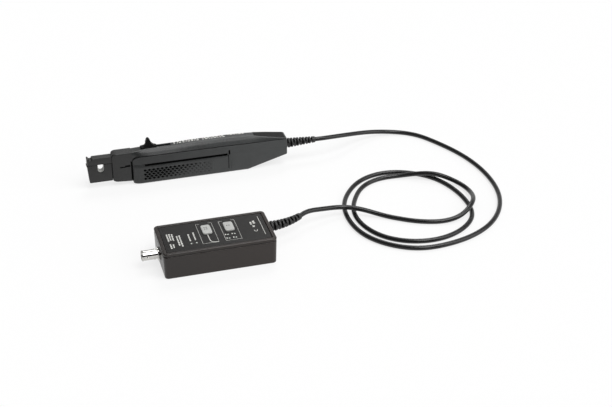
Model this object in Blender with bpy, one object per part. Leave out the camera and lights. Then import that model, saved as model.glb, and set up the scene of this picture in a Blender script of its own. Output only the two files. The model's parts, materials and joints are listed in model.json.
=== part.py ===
"""Clamp-on current probe for an oscilloscope, with its cord and its control box.

+X runs along probe and box from the jaw and the coaxial socket towards the cord, +Z is up, and
the origin lies on the ground under the middle of probe and box. Sizes are in millimetres and
become metres where a mesh is made. The probe is written in its own frame, with x = 0 at its
tail face and the jaw at negative x, and the box in a frame at the middle of its underside.
"""
import math

import bmesh
import bpy
import numpy as np
from mathutils import Vector

MM = 0.001
FIT = 0.3                   # gap between pieces that meet
OVER = 1.0                  # how far a cutter reaches past the face it opens
STEEP = math.pi / 2

# ---- probe: lengths along x, heights above the ground ----
TAIL_LENGTH = 58.5          # from the grip to the tail face
GRIP_LENGTH = 96.0
NECK_LENGTH = 19.5
NOSE_LENGTH = 24.6
BODY_WIDTH = 16.0
GRIP_WIDTH = 18.2           # over the swell of the grip
NECK_WIDTH = 11.6
NOSE_WIDTH = 7.6
SEAM_HEIGHT = 20.8          # groove between the two halves of the body
CREASE_HEIGHT = 29.0        # where the bevelled cover begins
ROOF_HEIGHT = 35.6
ROOF_FLAT = 6.4
NECK_BOTTOM = 4.6
NECK_TOP = 34.4
NOSE_BOTTOM = 6.5
NOSE_TOP = 31.4
JAW_SEAM = 24.4             # face where the sliding jaw meets the fixed one
TAIL_TAPER = 39.5           # length of the rising underside
TAIL_LIFT = 12.2
TAIL_SLOPE = 36.0           # length of the falling roof
TAIL_DROP = 5.0
WALL = 1.6
FRONT_WALL = 3.5
COVER_WALL = 1.2
HEAD_WALL = 1.3
GRIP_ROUND = 2.6
NECK_CHAMFER = 1.0

# ---- probe: jaws, core and slide ----
JAW_TRAVEL = 16.5
APERTURE_FROM_NECK = 11.0   # middle of the aperture, in front of the neck
APERTURE_WIDTH = 5.8
APERTURE_DEPTH = 7.8
LINER_WALL = 0.7
JAW_WALL = 1.2
JAW_GAP = 0.6               # shadow gap between the sliding jaw and the neck
LIP = 0.8                   # the fixed jaw stands proud of the sliding one
CORE_WIDTH = 4.4
CORE_LEG = 4.5
CORE_LEG_FROM_NECK = 6.0    # front face of the rear leg, behind the neck's front
UPPER_CORE_HEIGHT = 2.4
COIL_WALL = 1.6
COIL_HEIGHT = 6.6
SENSOR_HEIGHT = 1.0
TONGUE_WIDTH = 7.0
TONGUE_TOP = 28.2
TONGUE_LENGTH = 13.0        # behind the sliding jaw
CARRIAGE_LENGTH = 40.0
RAIL_THICKNESS = 1.2
RAIL_OVERLAP = 9.0          # rail behind the carriage
LEDGE_WIDTH = 1.4
LEDGE_HEIGHT = 1.8          # ledge above the seam
ROD_RADIUS = 0.75
SPRING_RADIUS = 1.75
SPRING_WIRE = 0.7
SPRING_LENGTH = 28.0
STOP_THICKNESS = 2.2
DETENT_WIRE = 0.5

# ---- probe: thumb lever ----
LEVER_FROM_GRIP = 9.0       # front of the lever's saddle, behind the grip's front
SADDLE_LENGTH = 16.5
SADDLE_WIDTH = 6.0
SADDLE_HEIGHT = 1.1
FIN_HEIGHT = 8.2            # above the saddle
FIN_WIDTH = 4.8
STEM_LENGTH = 10.0
SLOT_WIDTH = 4.0
SHUTTER_WIDTH = 4.9
SHUTTER_THICKNESS = 0.9
SHUTTER_REACH = 18.0        # shutter behind the saddle

# ---- probe: board and small pieces inside ----
BOARD_HEIGHT = 13.1
BOARD_THICKNESS = 1.2
BOARD_FRONT_GAP = 10.0      # from the grip's front
BOARD_BEHIND_PLUG = 1.0
POST_RADIUS = 2.2
CHIP_SIZE = (10.0, 7.0, 1.8)
PLUG_SIZE = (8.0, 7.0, 4.2)
PLUG_BEHIND_BOSS = 5.0      # from the middle screw's boss
SWITCH_SIZE = (7.0, 2.4, 3.2)
PANEL_LENGTH = 70.0
PANEL_HEIGHT = 13.0
PANEL_BOTTOM = 3.6
PANEL_THICKNESS = 0.9
PANEL_FRONT_GAP = 9.5
BOSS_RADIUS = 3.0
SCREW_RADIUS = 1.0
SCREW_HEAD = 2.0
HEAD_THICKNESS = 1.5
SEAT_DEPTH = 2.6            # counterbore under a housing screw
LEAD_RADIUS = 1.1

# ---- cord and strain reliefs ----
CORD_DIAMETER = 4.5
CORD_HEIGHT = 19.8          # cord axis where it leaves the probe
RELIEF_LENGTH = 32.0
RELIEF_ROOT = 5.2
RELIEF_TIP = 3.1
RELIEF_NECK = 4.2           # radius where it passes the wall
RELIEF_FLANGE = 5.4
FLANGE_THICKNESS = 2.4
RIB_COUNT = 9
RIB_DEPTH = 0.8
BOX_RELIEF_TURN = math.radians(34.0)
BOX_RELIEF_LENGTH = 36.5

# ---- control box: x along its length, y across ----
BOX_LENGTH = 101.0
BOX_WIDTH = 50.6
BOX_HEIGHT = 25.4
BOX_CORNER = 4.0
BOX_DRAFT = 0.6
BOX_WALL = 2.0
LID_DEPTH = 3.9
LID_PLATE = 1.6
LID_CHAMFER = 0.7
RECESS_DEPTH = 1.0
RIM_WIDTH = 3.4
LABEL_THICKNESS = 0.4
BUTTON_SIZE = (8.6, 14.4)
BUTTON_CORNER = 2.0
BUTTON_PROUD = 1.5          # above the label
BUTTON_TRAVEL = 0.8
BUTTON_FLANGE = 1.2
BUTTON_Y = 6.1
ZERO_BUTTON_X = -6.4
RANGE_BUTTON_X = 13.8
LAMP_RADIUS = 0.9
STATUS_LAMPS = ((-23.4, -12.1), (-18.8, -12.1))
RANGE_LAMPS = ((10.4, -6.2), (16.4, -6.2), (10.4, -12.4), (16.4, -12.4))
BOX_BOARD_HEIGHT = 8.3
BOX_BOARD_GAP = 2.2
STANDOFF_RADIUS = 2.4
BOX_POST_RADIUS = 3.2
BOX_SCREW_RADIUS = 1.2
BOX_SCREW_HEAD = 2.4
BOX_POST_FROM_END = 14.0    # screw axis from the end faces
BOX_POST_HEIGHT = 14.0
SOCKET_HEIGHT = 12.2
BARREL_RADIUS = 4.85
BARREL_BORE = 4.0
BARREL_LENGTH = 15.6        # from its front to the box
COLLAR_RADIUS = 6.3
COLLAR_LENGTH = 2.4
THREAD_RADIUS = 4.7
THREAD_LENGTH = 5.6         # behind the inner face of the wall
LUG_RADIUS = 0.95
LUG_HEIGHT = 1.0
LUG_FROM_FRONT = 5.4
CONTACT_RADIUS = 1.05
NUT_THICKNESS = 2.4
NUT_RADIUS = 7.0            # across the corners it is twice this
WASHER_THICKNESS = 0.8
BOX_RELIEF_Y = 14.6
BOX_RELIEF_HEIGHT = 13.8
CORD_SOCKET_Y = 9.0
JACK_Y = -11.0
JACK_SIZE = (9.0, 9.0, 3.4)
JACK_WALL = 0.4
CAN_SIZE = (22.0, 15.0, 6.0)
CAN_PLACE = (-25.5, 8.0)

# ---- where the two housings stand ----
PROBE_PLACE = (83.4, 86.0)
BOX_PLACE = (-22.9, -71.2)

# The cord as it lies, from the probe to the box: x, y and height of its axis.
LYING = CORD_DIAMETER / 2
OVER_ONE = LYING + CORD_DIAMETER + 1.0
ROUTE = [
    (132.0, 88.0, 18.7), (146.0, 93.0, 16.2), (163.0, 101.4, 11.8), (182.0, 109.0, 7.2),
    (203.0, 111.0, 3.6), (224.5, 102.8, LYING), (243.0, 78.5, LYING), (256.0, 51.5, LYING),
    (264.8, 20.0, LYING), (267.0, -9.0, LYING), (262.5, -42.0, LYING), (248.5, -72.0, LYING),
    (229.8, -92.2, LYING), (206.5, -105.5, LYING), (181.0, -112.0, LYING), (156.5, -111.5, LYING),
    (133.0, -99.5, LYING), (115.0, -76.0, LYING), (109.5, -48.5, LYING), (113.0, -21.0, LYING),
    (126.0, 4.0, LYING), (148.0, 24.0, LYING), (172.0, 29.5, LYING), (196.0, 22.0, LYING),
    (213.0, 7.0, LYING), (224.0, -17.0, LYING), (227.6, -45.0, LYING), (222.6, -71.0, LYING),
    (206.0, -90.0, LYING), (179.5, -101.0, LYING), (153.5, -98.6, LYING), (131.5, -84.2, LYING),
    (119.2, -60.0, LYING), (118.4, -34.5, LYING), (127.8, -10.0, LYING), (144.8, 11.6, LYING),
    (165.0, 20.0, LYING), (184.5, 18.6, 3.2), (201.0, 12.2, 6.2), (213.0, 5.4, OVER_ONE),
    (225.6, -2.4, 5.2), (235.4, -16.5, 3.0), (236.6, -35.5, 4.4), (226.9, -58.8, OVER_ONE),
    (210.0, -71.6, 4.4), (188.0, -72.6, LYING), (164.5, -63.8, LYING), (141.5, -48.2, 3.0),
    (118.0, -36.6, OVER_ONE), (105.0, -32.8, 8.6), (86.0, -35.8, 11.4),
]
CORD_STEP = 15.5            # spacing of the tube's rings


# ---------------------------------------------------------------- making meshes
class Frame:
    """An empty that pieces hang on; `origin` is its own place in the sizes they are written in."""

    def __init__(self, name, place, parent=None, origin=(0.0, 0.0, 0.0)):
        self.origin = Vector(origin)
        self.empty = bpy.data.objects.new(name, None)
        self.empty.location = Vector(place) * MM
        self.empty.parent = parent.empty if parent else None
        bpy.context.scene.collection.objects.link(self.empty)


def material(name, colour, roughness, metallic=0.0):
    made = bpy.data.materials.new(name)
    made.use_nodes = True
    shader = made.node_tree.nodes["Principled BSDF"]
    shader.inputs["Base Color"].default_value = (*colour, 1.0)
    shader.inputs["Roughness"].default_value = roughness
    shader.inputs["Metallic"].default_value = metallic
    return made


def solid(name, corners, faces, frame, finish):
    """A closed mesh from corners in millimetres; faces are turned to point out."""
    mesh = bpy.data.meshes.new(name)
    mesh.from_pydata([(Vector(corner) - frame.origin) * MM for corner in corners], [], faces)
    shape = bmesh.new()
    shape.from_mesh(mesh)
    bmesh.ops.recalc_face_normals(shape, faces=shape.faces)
    shape.to_mesh(mesh)
    shape.free()
    made = bpy.data.objects.new(name, mesh)
    made.parent = frame.empty
    if finish:
        mesh.materials.append(finish)
    bpy.context.scene.collection.objects.link(made)
    return made


def loft(name, rings, frame, finish=None):
    """Skin through rings with the same number of corners, closed by a cap at each end."""
    count = len(rings[0])
    corners = [corner for ring in rings for corner in ring]
    faces = [list(range(count)), list(range(len(corners) - count, len(corners)))]
    for low in range(0, len(corners) - count, count):
        for i in range(count):
            j = (i + 1) % count
            faces.append([low + i, low + j, low + count + j, low + count + i])
    return solid(name, corners, faces, frame, finish)


def prism(name, outline, axis, low, high, frame, finish=None):
    """An outline pushed along one axis; it is given in the other two axes, in their order."""
    def place(a, b, height):
        return {"X": (height, a, b), "Y": (a, height, b), "Z": (a, b, height)}[axis]
    return loft(name, [[place(a, b, h) for a, b in outline] for h in (low, high)], frame, finish)


def block(name, x, y, z, frame, finish=None):
    """A box from its lowest and highest x, y and z."""
    outline = [(x[0], y[0]), (x[1], y[0]), (x[1], y[1]), (x[0], y[1])]
    return prism(name, outline, "Z", z[0], z[1], frame, finish)


def arc(centre, radius, start, end, steps):
    """Points on an arc about `centre`, both ends included, angles in radians."""
    angles = [start + (end - start) * i / steps for i in range(steps + 1)]
    return [(centre[0] + radius * math.cos(a), centre[1] + radius * math.sin(a)) for a in angles]


def circle(centre, radius, steps):
    return arc(centre, radius, 0.0, 2 * math.pi * (steps - 1) / steps, steps - 1)


def rounded(centre, size, radius, steps=3):
    """A rectangle with round corners, counter-clockwise."""
    outline = []
    for quarter, (sx, sy) in enumerate(((1, 1), (-1, 1), (-1, -1), (1, -1))):
        middle = (centre[0] + sx * (size[0] / 2 - radius), centre[1] + sy * (size[1] / 2 - radius))
        outline += arc(middle, radius, quarter * STEEP, (quarter + 1) * STEEP, steps)
    return outline


def turned(name, profile, axis, centre, steps, frame, finish=None):
    """A solid of revolution. The profile gives (place along the axis, radius) from end to end."""
    rings = []
    for place, radius in profile:
        points = circle(centre, radius, steps)
        rings.append([{"X": (place, a, b), "Z": (a, b, place)}[axis] for a, b in points])
    return loft(name, rings, frame, finish)


def rod(name, axis, centre, radius, low, high, frame, finish=None, steps=16):
    return turned(name, [(low, radius), (high, radius)], axis, centre, steps, frame, finish)


def combine(target, tools, operation):
    for tool in tools:
        tool.hide_render = True
        tool.display_type = "WIRE"
        step = target.modifiers.new(tool.name, "BOOLEAN")
        step.operation = operation
        step.solver = "EXACT"
        step.object = tool
    return target


def cut(target, *tools):
    return combine(target, tools, "DIFFERENCE")


def join(target, *tools):
    return combine(target, tools, "UNION")


def smooth(thing, angle=40.0):
    """Round pieces are shaded smooth, with their real edges kept sharp."""
    thing.data.shade_smooth()
    thing.data.set_sharp_from_angle(angle=math.radians(angle))
    return thing


def through(points, step):
    """Even points on a natural cubic curve through `points`; returns them and the length."""
    knots = np.array(points, float)
    place = np.concatenate([[0.0], np.cumsum(np.linalg.norm(np.diff(knots, axis=0), axis=1))])
    gap = np.diff(place)
    count = len(knots)
    system = np.zeros((count, count))
    right = np.zeros((count, 3))
    system[0, 0] = system[-1, -1] = 1.0
    for i in range(1, count - 1):
        system[i, i - 1:i + 2] = gap[i - 1], 2 * (gap[i - 1] + gap[i]), gap[i]
        right[i] = 6 * ((knots[i + 1] - knots[i]) / gap[i] - (knots[i] - knots[i - 1]) / gap[i - 1])
    bend = np.linalg.solve(system, right)
    dense = np.linspace(0.0, place[-1], int(place[-1]) + 1)
    left = np.clip(np.searchsorted(place, dense, side="right") - 1, 0, count - 2)
    width = gap[left][:, None]
    before = (place[left + 1] - dense)[:, None]
    after = (dense - place[left])[:, None]
    curve = (bend[left] * before ** 3 + bend[left + 1] * after ** 3) / (6 * width)
    curve += (knots[left] / width - bend[left] * width / 6) * before
    curve += (knots[left + 1] / width - bend[left + 1] * width / 6) * after
    run = np.concatenate([[0.0], np.cumsum(np.linalg.norm(np.diff(curve, axis=0), axis=1))])
    even = np.linspace(0.0, run[-1], round(run[-1] / step) + 1)
    spaced = np.stack([np.interp(even, run, curve[:, k]) for k in range(3)], axis=1)
    return spaced, run[-1]


def tube(name, points, radius, sides, frame, finish):
    """A round tube as a bevelled poly curve with filled caps."""
    curve = bpy.data.curves.new(name, "CURVE")
    curve.dimensions = "3D"
    curve.bevel_depth = radius * MM
    curve.bevel_resolution = sides
    curve.use_fill_caps = True
    line = curve.splines.new("POLY")
    line.points.add(len(points) - 1)
    for point, corner in zip(line.points, points):
        point.co = (*((Vector(corner) - frame.origin) * MM), 1.0)
    made = bpy.data.objects.new(name, curve)
    made.parent = frame.empty
    curve.materials.append(finish)
    bpy.context.scene.collection.objects.link(made)
    return made


# ---------------------------------------------------------------- finishes
def finishes():
    return {
        "charcoal": material("charcoal moulded plastic", (0.055, 0.057, 0.058), 0.45),
        "black": material("black moulded plastic", (0.018, 0.017, 0.016), 0.4),
        "grip": material("dimpled grip plastic", (0.04, 0.041, 0.042), 0.6),
        "rubber": material("black rubber", (0.015, 0.015, 0.015), 0.55),
        "ivory": material("natural nylon", (0.85, 0.84, 0.8), 0.4),
        "ferrite": material("ferrite", (0.06, 0.06, 0.065), 0.5),
        "copper": material("enamelled copper wire", (0.5, 0.2, 0.08), 0.35, 1.0),
        "steel": material("bright steel", (0.6, 0.6, 0.6), 0.3, 1.0),
        "nickel": material("nickel plate", (0.7, 0.69, 0.66), 0.22, 1.0),
        "gold": material("gold plate", (0.85, 0.62, 0.25), 0.25, 1.0),
        "board": material("green circuit board", (0.02, 0.16, 0.06), 0.4),
        "key": material("light grey key", (0.62, 0.62, 0.6), 0.5),
        "lamp": material("clear lamp lens", (0.75, 0.78, 0.75), 0.2),
        "label": material("printed label film", (0.02, 0.019, 0.018), 0.35),
    }


# ---------------------------------------------------------------- probe body
GRIP_END = -TAIL_LENGTH
GRIP_FRONT = GRIP_END - GRIP_LENGTH
NECK_FRONT = GRIP_FRONT - NECK_LENGTH
NOSE_FRONT = NECK_FRONT - NOSE_LENGTH
BODY_HALF = BODY_WIDTH / 2
INNER_HALF = BODY_HALF - WALL
GRIP_HALF = GRIP_WIDTH / 2
NECK_HALF = NECK_WIDTH / 2
NOSE_HALF = NOSE_WIDTH / 2
UPPER_BOTTOM = SEAM_HEIGHT + FIT
LEDGE_TOP = UPPER_BOTTOM + LEDGE_HEIGHT
RAIL_BOTTOM = LEDGE_TOP + FIT
RAIL_TOP = RAIL_BOTTOM + RAIL_THICKNESS
SLIDE_BOTTOM = max(JAW_SEAM, RAIL_TOP) + FIT
COVER_BOTTOM = CREASE_HEIGHT + FIT
JAW_REAR = NECK_FRONT - JAW_GAP
TONGUE_REAR = JAW_REAR + TONGUE_LENGTH
CARRIAGE_FRONT = TONGUE_REAR + FIT
CARRIAGE_REAR = CARRIAGE_FRONT + CARRIAGE_LENGTH
SPRING_FRONT = CARRIAGE_REAR + FIT
STOP_FRONT = SPRING_FRONT + SPRING_LENGTH + FIT
STOP_REAR = STOP_FRONT + STOP_THICKNESS
ROD_HEIGHT = (SLIDE_BOTTOM + TONGUE_TOP) / 2
SCREW_PLACES = (GRIP_FRONT + FRONT_WALL + BOSS_RADIUS + 0.4, GRIP_END - 9.0, -26.0)
BOARD_FRONT = GRIP_FRONT + BOARD_FRONT_GAP
PLUG_REAR = SCREW_PLACES[1] + BOSS_RADIUS + PLUG_BEHIND_BOSS + PLUG_SIZE[0]
BOARD_REAR = PLUG_REAR + BOARD_BEHIND_PLUG
BOARD_TOP = BOARD_HEIGHT + BOARD_THICKNESS


def underside(x):
    """Height of the body's underside, which rises along the tail."""
    return TAIL_LIFT * max(0.0, 1.0 + x / TAIL_TAPER)


def trough_ring(x, seam_half, side_half, bottom, corner, top):
    """A cross-section open at the top: sides that swell below the seam, round lower corners."""
    blend = min(3.0, (top - bottom - corner) / 2)
    side = [(-seam_half, top), (-side_half, top - blend)]
    side += arc((corner - side_half, bottom + corner), corner, 2 * STEEP, 3 * STEEP, 3)
    ring = side + [(-y, z) for y, z in reversed(side)]
    return [(x, y, z) for y, z in ring]


def lower_housing(frame, finish):
    """The lower half of the body: a trough with the grip's swell and the rising tail."""
    front = [(0.0, 0.85, 0.85, 4.4, 0.6), (1.2, 0.985, 0.9, 2.0, 0.8),
             (FRONT_WALL, 1.0, 0.98, 0.5, 1.0), (FRONT_WALL + 3.0, 1.0, 1.0, 0.0, 1.0)]
    rings = [trough_ring(GRIP_FRONT + step, BODY_HALF * narrow, GRIP_HALF * swell, lift,
                         GRIP_ROUND * round_share, SEAM_HEIGHT)
             for step, narrow, swell, lift, round_share in front]
    for x, half in ((GRIP_END - 1.2, GRIP_HALF), (GRIP_END, BODY_HALF), (-TAIL_TAPER, BODY_HALF),
                    (-1.5, BODY_HALF)):
        rings.append(trough_ring(x, BODY_HALF, half, underside(x), GRIP_ROUND, SEAM_HEIGHT))
    rings.append(trough_ring(0.0, BODY_HALF - 0.7, BODY_HALF - 0.7, underside(0.0) + 0.7,
                             GRIP_ROUND / 2, SEAM_HEIGHT))
    body = loft("lower_housing", rings, frame, finish)

    hollow = [trough_ring(x, INNER_HALF, INNER_HALF, underside(x) + WALL, 1.0, SEAM_HEIGHT + OVER)
              for x in (GRIP_FRONT + FRONT_WALL, -TAIL_TAPER, -WALL - 0.6)]
    window = block("lower_window", (GRIP_FRONT - OVER, GRIP_FRONT + FRONT_WALL + OVER),
                   (WALL - NECK_HALF, NECK_HALF - WALL),
                   (BOARD_HEIGHT - 5.0, SEAM_HEIGHT + OVER), frame)
    relief = rod("lower_relief_hole", "X", (0.0, CORD_HEIGHT), RELIEF_NECK + FIT, -WALL - OVER - 1.0,
                 OVER, frame)
    cut(body, loft("lower_hollow", hollow, frame), window, relief)
    for index, x in enumerate(SCREW_PLACES):
        floor = underside(x - BOSS_RADIUS)
        boss = rod(f"lower_boss_{index}", "Z", (x, 0.0), BOSS_RADIUS, floor + WALL / 2,
                   SEAM_HEIGHT - 0.1, frame)
        bore = rod(f"lower_bore_{index}", "Z", (x, 0.0), SCREW_RADIUS + FIT, floor - OVER,
                   SEAM_HEIGHT + OVER, frame, steps=12)
        seat = rod(f"lower_seat_{index}", "Z", (x, 0.0), SCREW_HEAD + FIT, floor - OVER,
                   screw_seat(x), frame)
        join(body, boss)
        cut(body, bore, seat)
    for index, x in enumerate((BOARD_FRONT + 6.0, BOARD_REAR - 4.0)):
        join(body, rod(f"board_post_{index}", "Z", (x, 0.0), POST_RADIUS, WALL / 2,
                       BOARD_HEIGHT - FIT, frame, steps=12))
    clamp_floor = underside(CLAMP_PLACE - 3.0) + WALL / 2
    join(body, block("clamp_pad", (CLAMP_PLACE - 2.5, CLAMP_PLACE + 2.5), (-3.0, 3.0),
                     (clamp_floor, CLAMP_BOTTOM - FIT), frame))
    for side, sign in (("near", -1), ("far", 1)):
        depth = sorted((sign * (GRIP_HALF + OVER), sign * (GRIP_HALF - PANEL_THICKNESS)))
        cut(body, prism(f"{side}_recess", panel_outline(FIT), "Y", *depth, frame))
    return body


def screw_seat(x):
    """Height of the face that a housing screw's head bears on."""
    return underside(x + BOSS_RADIUS) + SEAT_DEPTH


def panel_outline(grow):
    """The grip panel seen from the side, grown by `grow` all round."""
    front = GRIP_FRONT + PANEL_FRONT_GAP
    centre = (front + PANEL_LENGTH / 2, PANEL_BOTTOM + PANEL_HEIGHT / 2)
    return rounded(centre, (PANEL_LENGTH + 2 * grow, PANEL_HEIGHT + 2 * grow), 2.0 + grow)


def grip_panels(frame, finish):
    for side, sign in (("near", -1), ("far", 1)):
        inner = GRIP_HALF - PANEL_THICKNESS + FIT
        depth = sorted((sign * inner, sign * (inner + PANEL_THICKNESS)))
        prism(f"grip_panel_{side}", panel_outline(0.0), "Y", *depth, frame, finish)


def upper_housing(frame, finish):
    """The band between seam and crease: side walls, ledges for the rail, cross ribs, spring stop."""
    half_plan = [(GRIP_FRONT, NECK_HALF + 0.9), (GRIP_FRONT + 4.0, BODY_HALF), (-1.5, BODY_HALF),
                 (0.0, BODY_HALF - 0.7)]
    plan = [(x, -y) for x, y in half_plan] + list(reversed(half_plan))
    body = prism("upper_housing", plan, "Z", UPPER_BOTTOM, CREASE_HEIGHT, frame, finish)
    inside = (GRIP_FRONT + WALL, -WALL - 0.4)
    ledge_half = INNER_HALF - LEDGE_WIDTH
    pocket = block("upper_pocket", inside, (-INNER_HALF + 0.4, INNER_HALF - 0.4),
                   (LEDGE_TOP, CREASE_HEIGHT + OVER), frame)
    well = block("upper_well", (inside[0] + 3.0, inside[1] - FLANGE_THICKNESS - 4.0),
                 (-ledge_half, ledge_half), (UPPER_BOTTOM - OVER, LEDGE_TOP + OVER), frame)
    window = block("upper_window", (GRIP_FRONT - OVER, inside[0] + OVER),
                   (-TONGUE_WIDTH / 2 - 2 * FIT, TONGUE_WIDTH / 2 + 2 * FIT),
                   (LEDGE_TOP, CREASE_HEIGHT + OVER), frame)
    relief = rod("upper_relief_hole", "X", (0.0, CORD_HEIGHT), RELIEF_NECK + FIT,
                 -WALL - OVER - 2.0, OVER, frame)
    flange = rod("upper_flange_space", "X", (0.0, CORD_HEIGHT), RELIEF_FLANGE + FIT,
                 -WALL - FLANGE_THICKNESS - 5.0, -WALL - 0.2, frame)
    cut(body, pocket, well, window, relief, flange)
    for index, x in enumerate(SCREW_PLACES):
        rib = block(f"upper_rib_{index}", (x - 3.0, x + 3.0), (-INNER_HALF - 0.4, INNER_HALF + 0.4),
                    (UPPER_BOTTOM + 0.1, LEDGE_TOP - 0.1), frame)
        bore = rod(f"upper_bore_{index}", "Z", (x, 0.0), SCREW_RADIUS + FIT, UPPER_BOTTOM - OVER,
                   LEDGE_TOP + OVER, frame, steps=12)
        join(body, rib)
        cut(body, bore)
    stop = block("spring_stop", (STOP_FRONT, STOP_REAR), (-INNER_HALF - 0.4, INNER_HALF + 0.4),
                 (UPPER_BOTTOM + 0.2, CREASE_HEIGHT - 0.1), frame)
    hole = rod("rod_hole", "X", (0.0, ROD_HEIGHT), ROD_RADIUS + FIT, STOP_FRONT - OVER,
               STOP_REAR + OVER, frame, steps=12)
    join(body, stop)
    return cut(body, hole)


def roof_sections():
    """The cover from front to tail: x, half width, shoulder (half, height), flat (half, height)."""
    rise = ROOF_HEIGHT - COVER_BOTTOM
    flat = ROOF_FLAT / 2
    bevel = ((BODY_HALF + flat) / 2, COVER_BOTTOM + rise / 2)
    low = ROOF_HEIGHT - TAIL_DROP
    return [
        (GRIP_FRONT, NECK_HALF + 0.9, (NECK_HALF + 0.7, NECK_TOP - 2.2), (NECK_HALF - 0.8, NECK_TOP)),
        (GRIP_FRONT + 4.0, BODY_HALF, (BODY_HALF - 0.8, COVER_BOTTOM + 0.42 * rise),
         (flat + 1.3, ROOF_HEIGHT - 0.4)),
        (GRIP_FRONT + 12.0, BODY_HALF, bevel, (flat, ROOF_HEIGHT)),
        (-TAIL_SLOPE - 9.0, BODY_HALF, bevel, (flat, ROOF_HEIGHT)),
        (-TAIL_SLOPE, BODY_HALF, (BODY_HALF - 1.5, COVER_BOTTOM + 0.4 * rise),
         (BODY_HALF - 3.0, ROOF_HEIGHT - 1.2)),
        (-4.0, BODY_HALF, (BODY_HALF - 1.6, low - 0.5), (BODY_HALF - 3.0, low)),
        (-1.2, BODY_HALF - 0.3, (BODY_HALF - 1.8, low - 1.2), (BODY_HALF - 3.2, low - 0.7)),
        (0.0, BODY_HALF - 0.7, (BODY_HALF - 2.4, COVER_BOTTOM + 0.2), (BODY_HALF - 3.8, COVER_BOTTOM + 0.4)),
    ]


def roof_ring(x, half, shoulder, flat, bottom, inset=0.0):
    side = [(-half + inset, bottom), (-shoulder[0] + 0.95 * inset, shoulder[1] - 0.45 * inset),
            (-flat[0] + 0.3 * inset, flat[1] - inset)]
    return [(x, y, z) for y, z in side + [(-y, z) for y, z in reversed(side)]]


SADDLE_FRONT = GRIP_FRONT + LEVER_FROM_GRIP
SADDLE_REAR = SADDLE_FRONT + SADDLE_LENGTH
STEM_FRONT = SADDLE_FRONT + (SADDLE_LENGTH - STEM_LENGTH) / 2
STEM_REAR = STEM_FRONT + STEM_LENGTH
SLOT_FRONT = STEM_FRONT - 2 * FIT
SLOT_REAR = STEM_REAR + JAW_TRAVEL + 2 * FIT


def top_cover(frame, finish):
    """The bevelled roof, a thin shell with the thumb lever's slot."""
    sections = roof_sections()
    body = loft("top_cover", [roof_ring(*section, COVER_BOTTOM) for section in sections],
                frame, finish)
    inner = [(sections[0][0] + COVER_WALL, *sections[0][1:])] + sections[1:5]
    inner.append((-10.0, BODY_HALF, (BODY_HALF - 1.6, ROOF_HEIGHT - TAIL_DROP - 0.2),
                  (BODY_HALF - 3.0, ROOF_HEIGHT - TAIL_DROP + 0.3)))
    hollow = loft("cover_hollow", [roof_ring(*section, COVER_BOTTOM - OVER, COVER_WALL)
                                   for section in inner], frame)
    slot = block("lever_slot", (SLOT_FRONT, SLOT_REAR), (-SLOT_WIDTH / 2, SLOT_WIDTH / 2),
                 (ROOF_HEIGHT - COVER_WALL - OVER, ROOF_HEIGHT + OVER), frame)
    return cut(body, hollow, slot)


def neck_ring(x, half, bottom, top, inset=0.0, chamfer=NECK_CHAMFER):
    half, bottom, top = half - inset, bottom + inset, top - inset
    side = [(-half, top - chamfer), (-half, bottom + chamfer), (chamfer - half, bottom)]
    other = [(half - chamfer, bottom), (half, bottom + chamfer), (half, top - chamfer),
             (half - chamfer, top), (chamfer - half, top)]
    return [(x, y, z) for y, z in side + other]


def head_block(frame, finish):
    """The neck: a box-shaped shell that the sliding jaw draws back into."""
    front_half = NOSE_HALF + 1.3
    front_top = NOSE_TOP + 1.5
    outer = [neck_ring(NECK_FRONT, front_half, NOSE_BOTTOM - 0.3, front_top),
             neck_ring(NECK_FRONT + 2.4, (front_half + NECK_HALF) / 2 + 0.2, NECK_BOTTOM + 0.8,
                       NECK_TOP - 0.5),
             neck_ring(NECK_FRONT + 5.0, NECK_HALF, NECK_BOTTOM, NECK_TOP),
             neck_ring(GRIP_FRONT - FIT, NECK_HALF, NECK_BOTTOM, NECK_TOP)]
    body = loft("head_block", outer, frame, finish)
    inner = [neck_ring(NECK_FRONT + HEAD_WALL, front_half - 0.2, NOSE_BOTTOM - 0.3, front_top + 0.2,
                       HEAD_WALL - 0.3, 0.6),
             neck_ring(NECK_FRONT + 5.0, NECK_HALF, NECK_BOTTOM, NECK_TOP, HEAD_WALL, 0.6),
             neck_ring(GRIP_FRONT - FIT + OVER, NECK_HALF, NECK_BOTTOM, NECK_TOP, HEAD_WALL, 0.6)]
    window = block("jaw_window", (NECK_FRONT - OVER, NECK_FRONT + HEAD_WALL + OVER),
                   (-NOSE_HALF - FIT, NOSE_HALF + FIT), (JAW_SEAM, NOSE_TOP + 2 * FIT), frame)
    channel = block("core_window", (NECK_FRONT - OVER, NECK_FRONT + HEAD_WALL + OVER),
                    (-CORE_WIDTH / 2 - FIT, CORE_WIDTH / 2 + FIT),
                    (CORE_BOTTOM - FIT, JAW_SEAM + OVER), frame)
    return cut(body, loft("neck_hollow", inner, frame), window, channel)


# ---------------------------------------------------------------- jaws and core
APERTURE_X = NECK_FRONT - APERTURE_FROM_NECK
SLEEVE_HALF = APERTURE_WIDTH / 2 + LINER_WALL
SLEEVE_BOTTOM = JAW_SEAM - APERTURE_DEPTH - LINER_WALL
CORE_BOTTOM = NOSE_BOTTOM + JAW_WALL + FIT
CORE_BAR_TOP = SLEEVE_BOTTOM - FIT - JAW_WALL
CORE_FRONT = NOSE_FRONT + 2.0 + JAW_WALL
CORE_FRONT_REAR = APERTURE_X - SLEEVE_HALF - 2 * FIT - JAW_WALL
REAR_LEG = NECK_FRONT + CORE_LEG_FROM_NECK
REAR_LEG_TOP = SLIDE_BOTTOM - SENSOR_HEIGHT - 2 * FIT - 0.4


def slot_outline(half, bottom, top):
    """A slot with a half-round bottom, from its top left down and round to its top right."""
    curve = arc((APERTURE_X, bottom + half), half, -2 * STEEP, 0.0, 8)
    return [(APERTURE_X - half, top)] + curve + [(APERTURE_X + half, top)]


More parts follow.
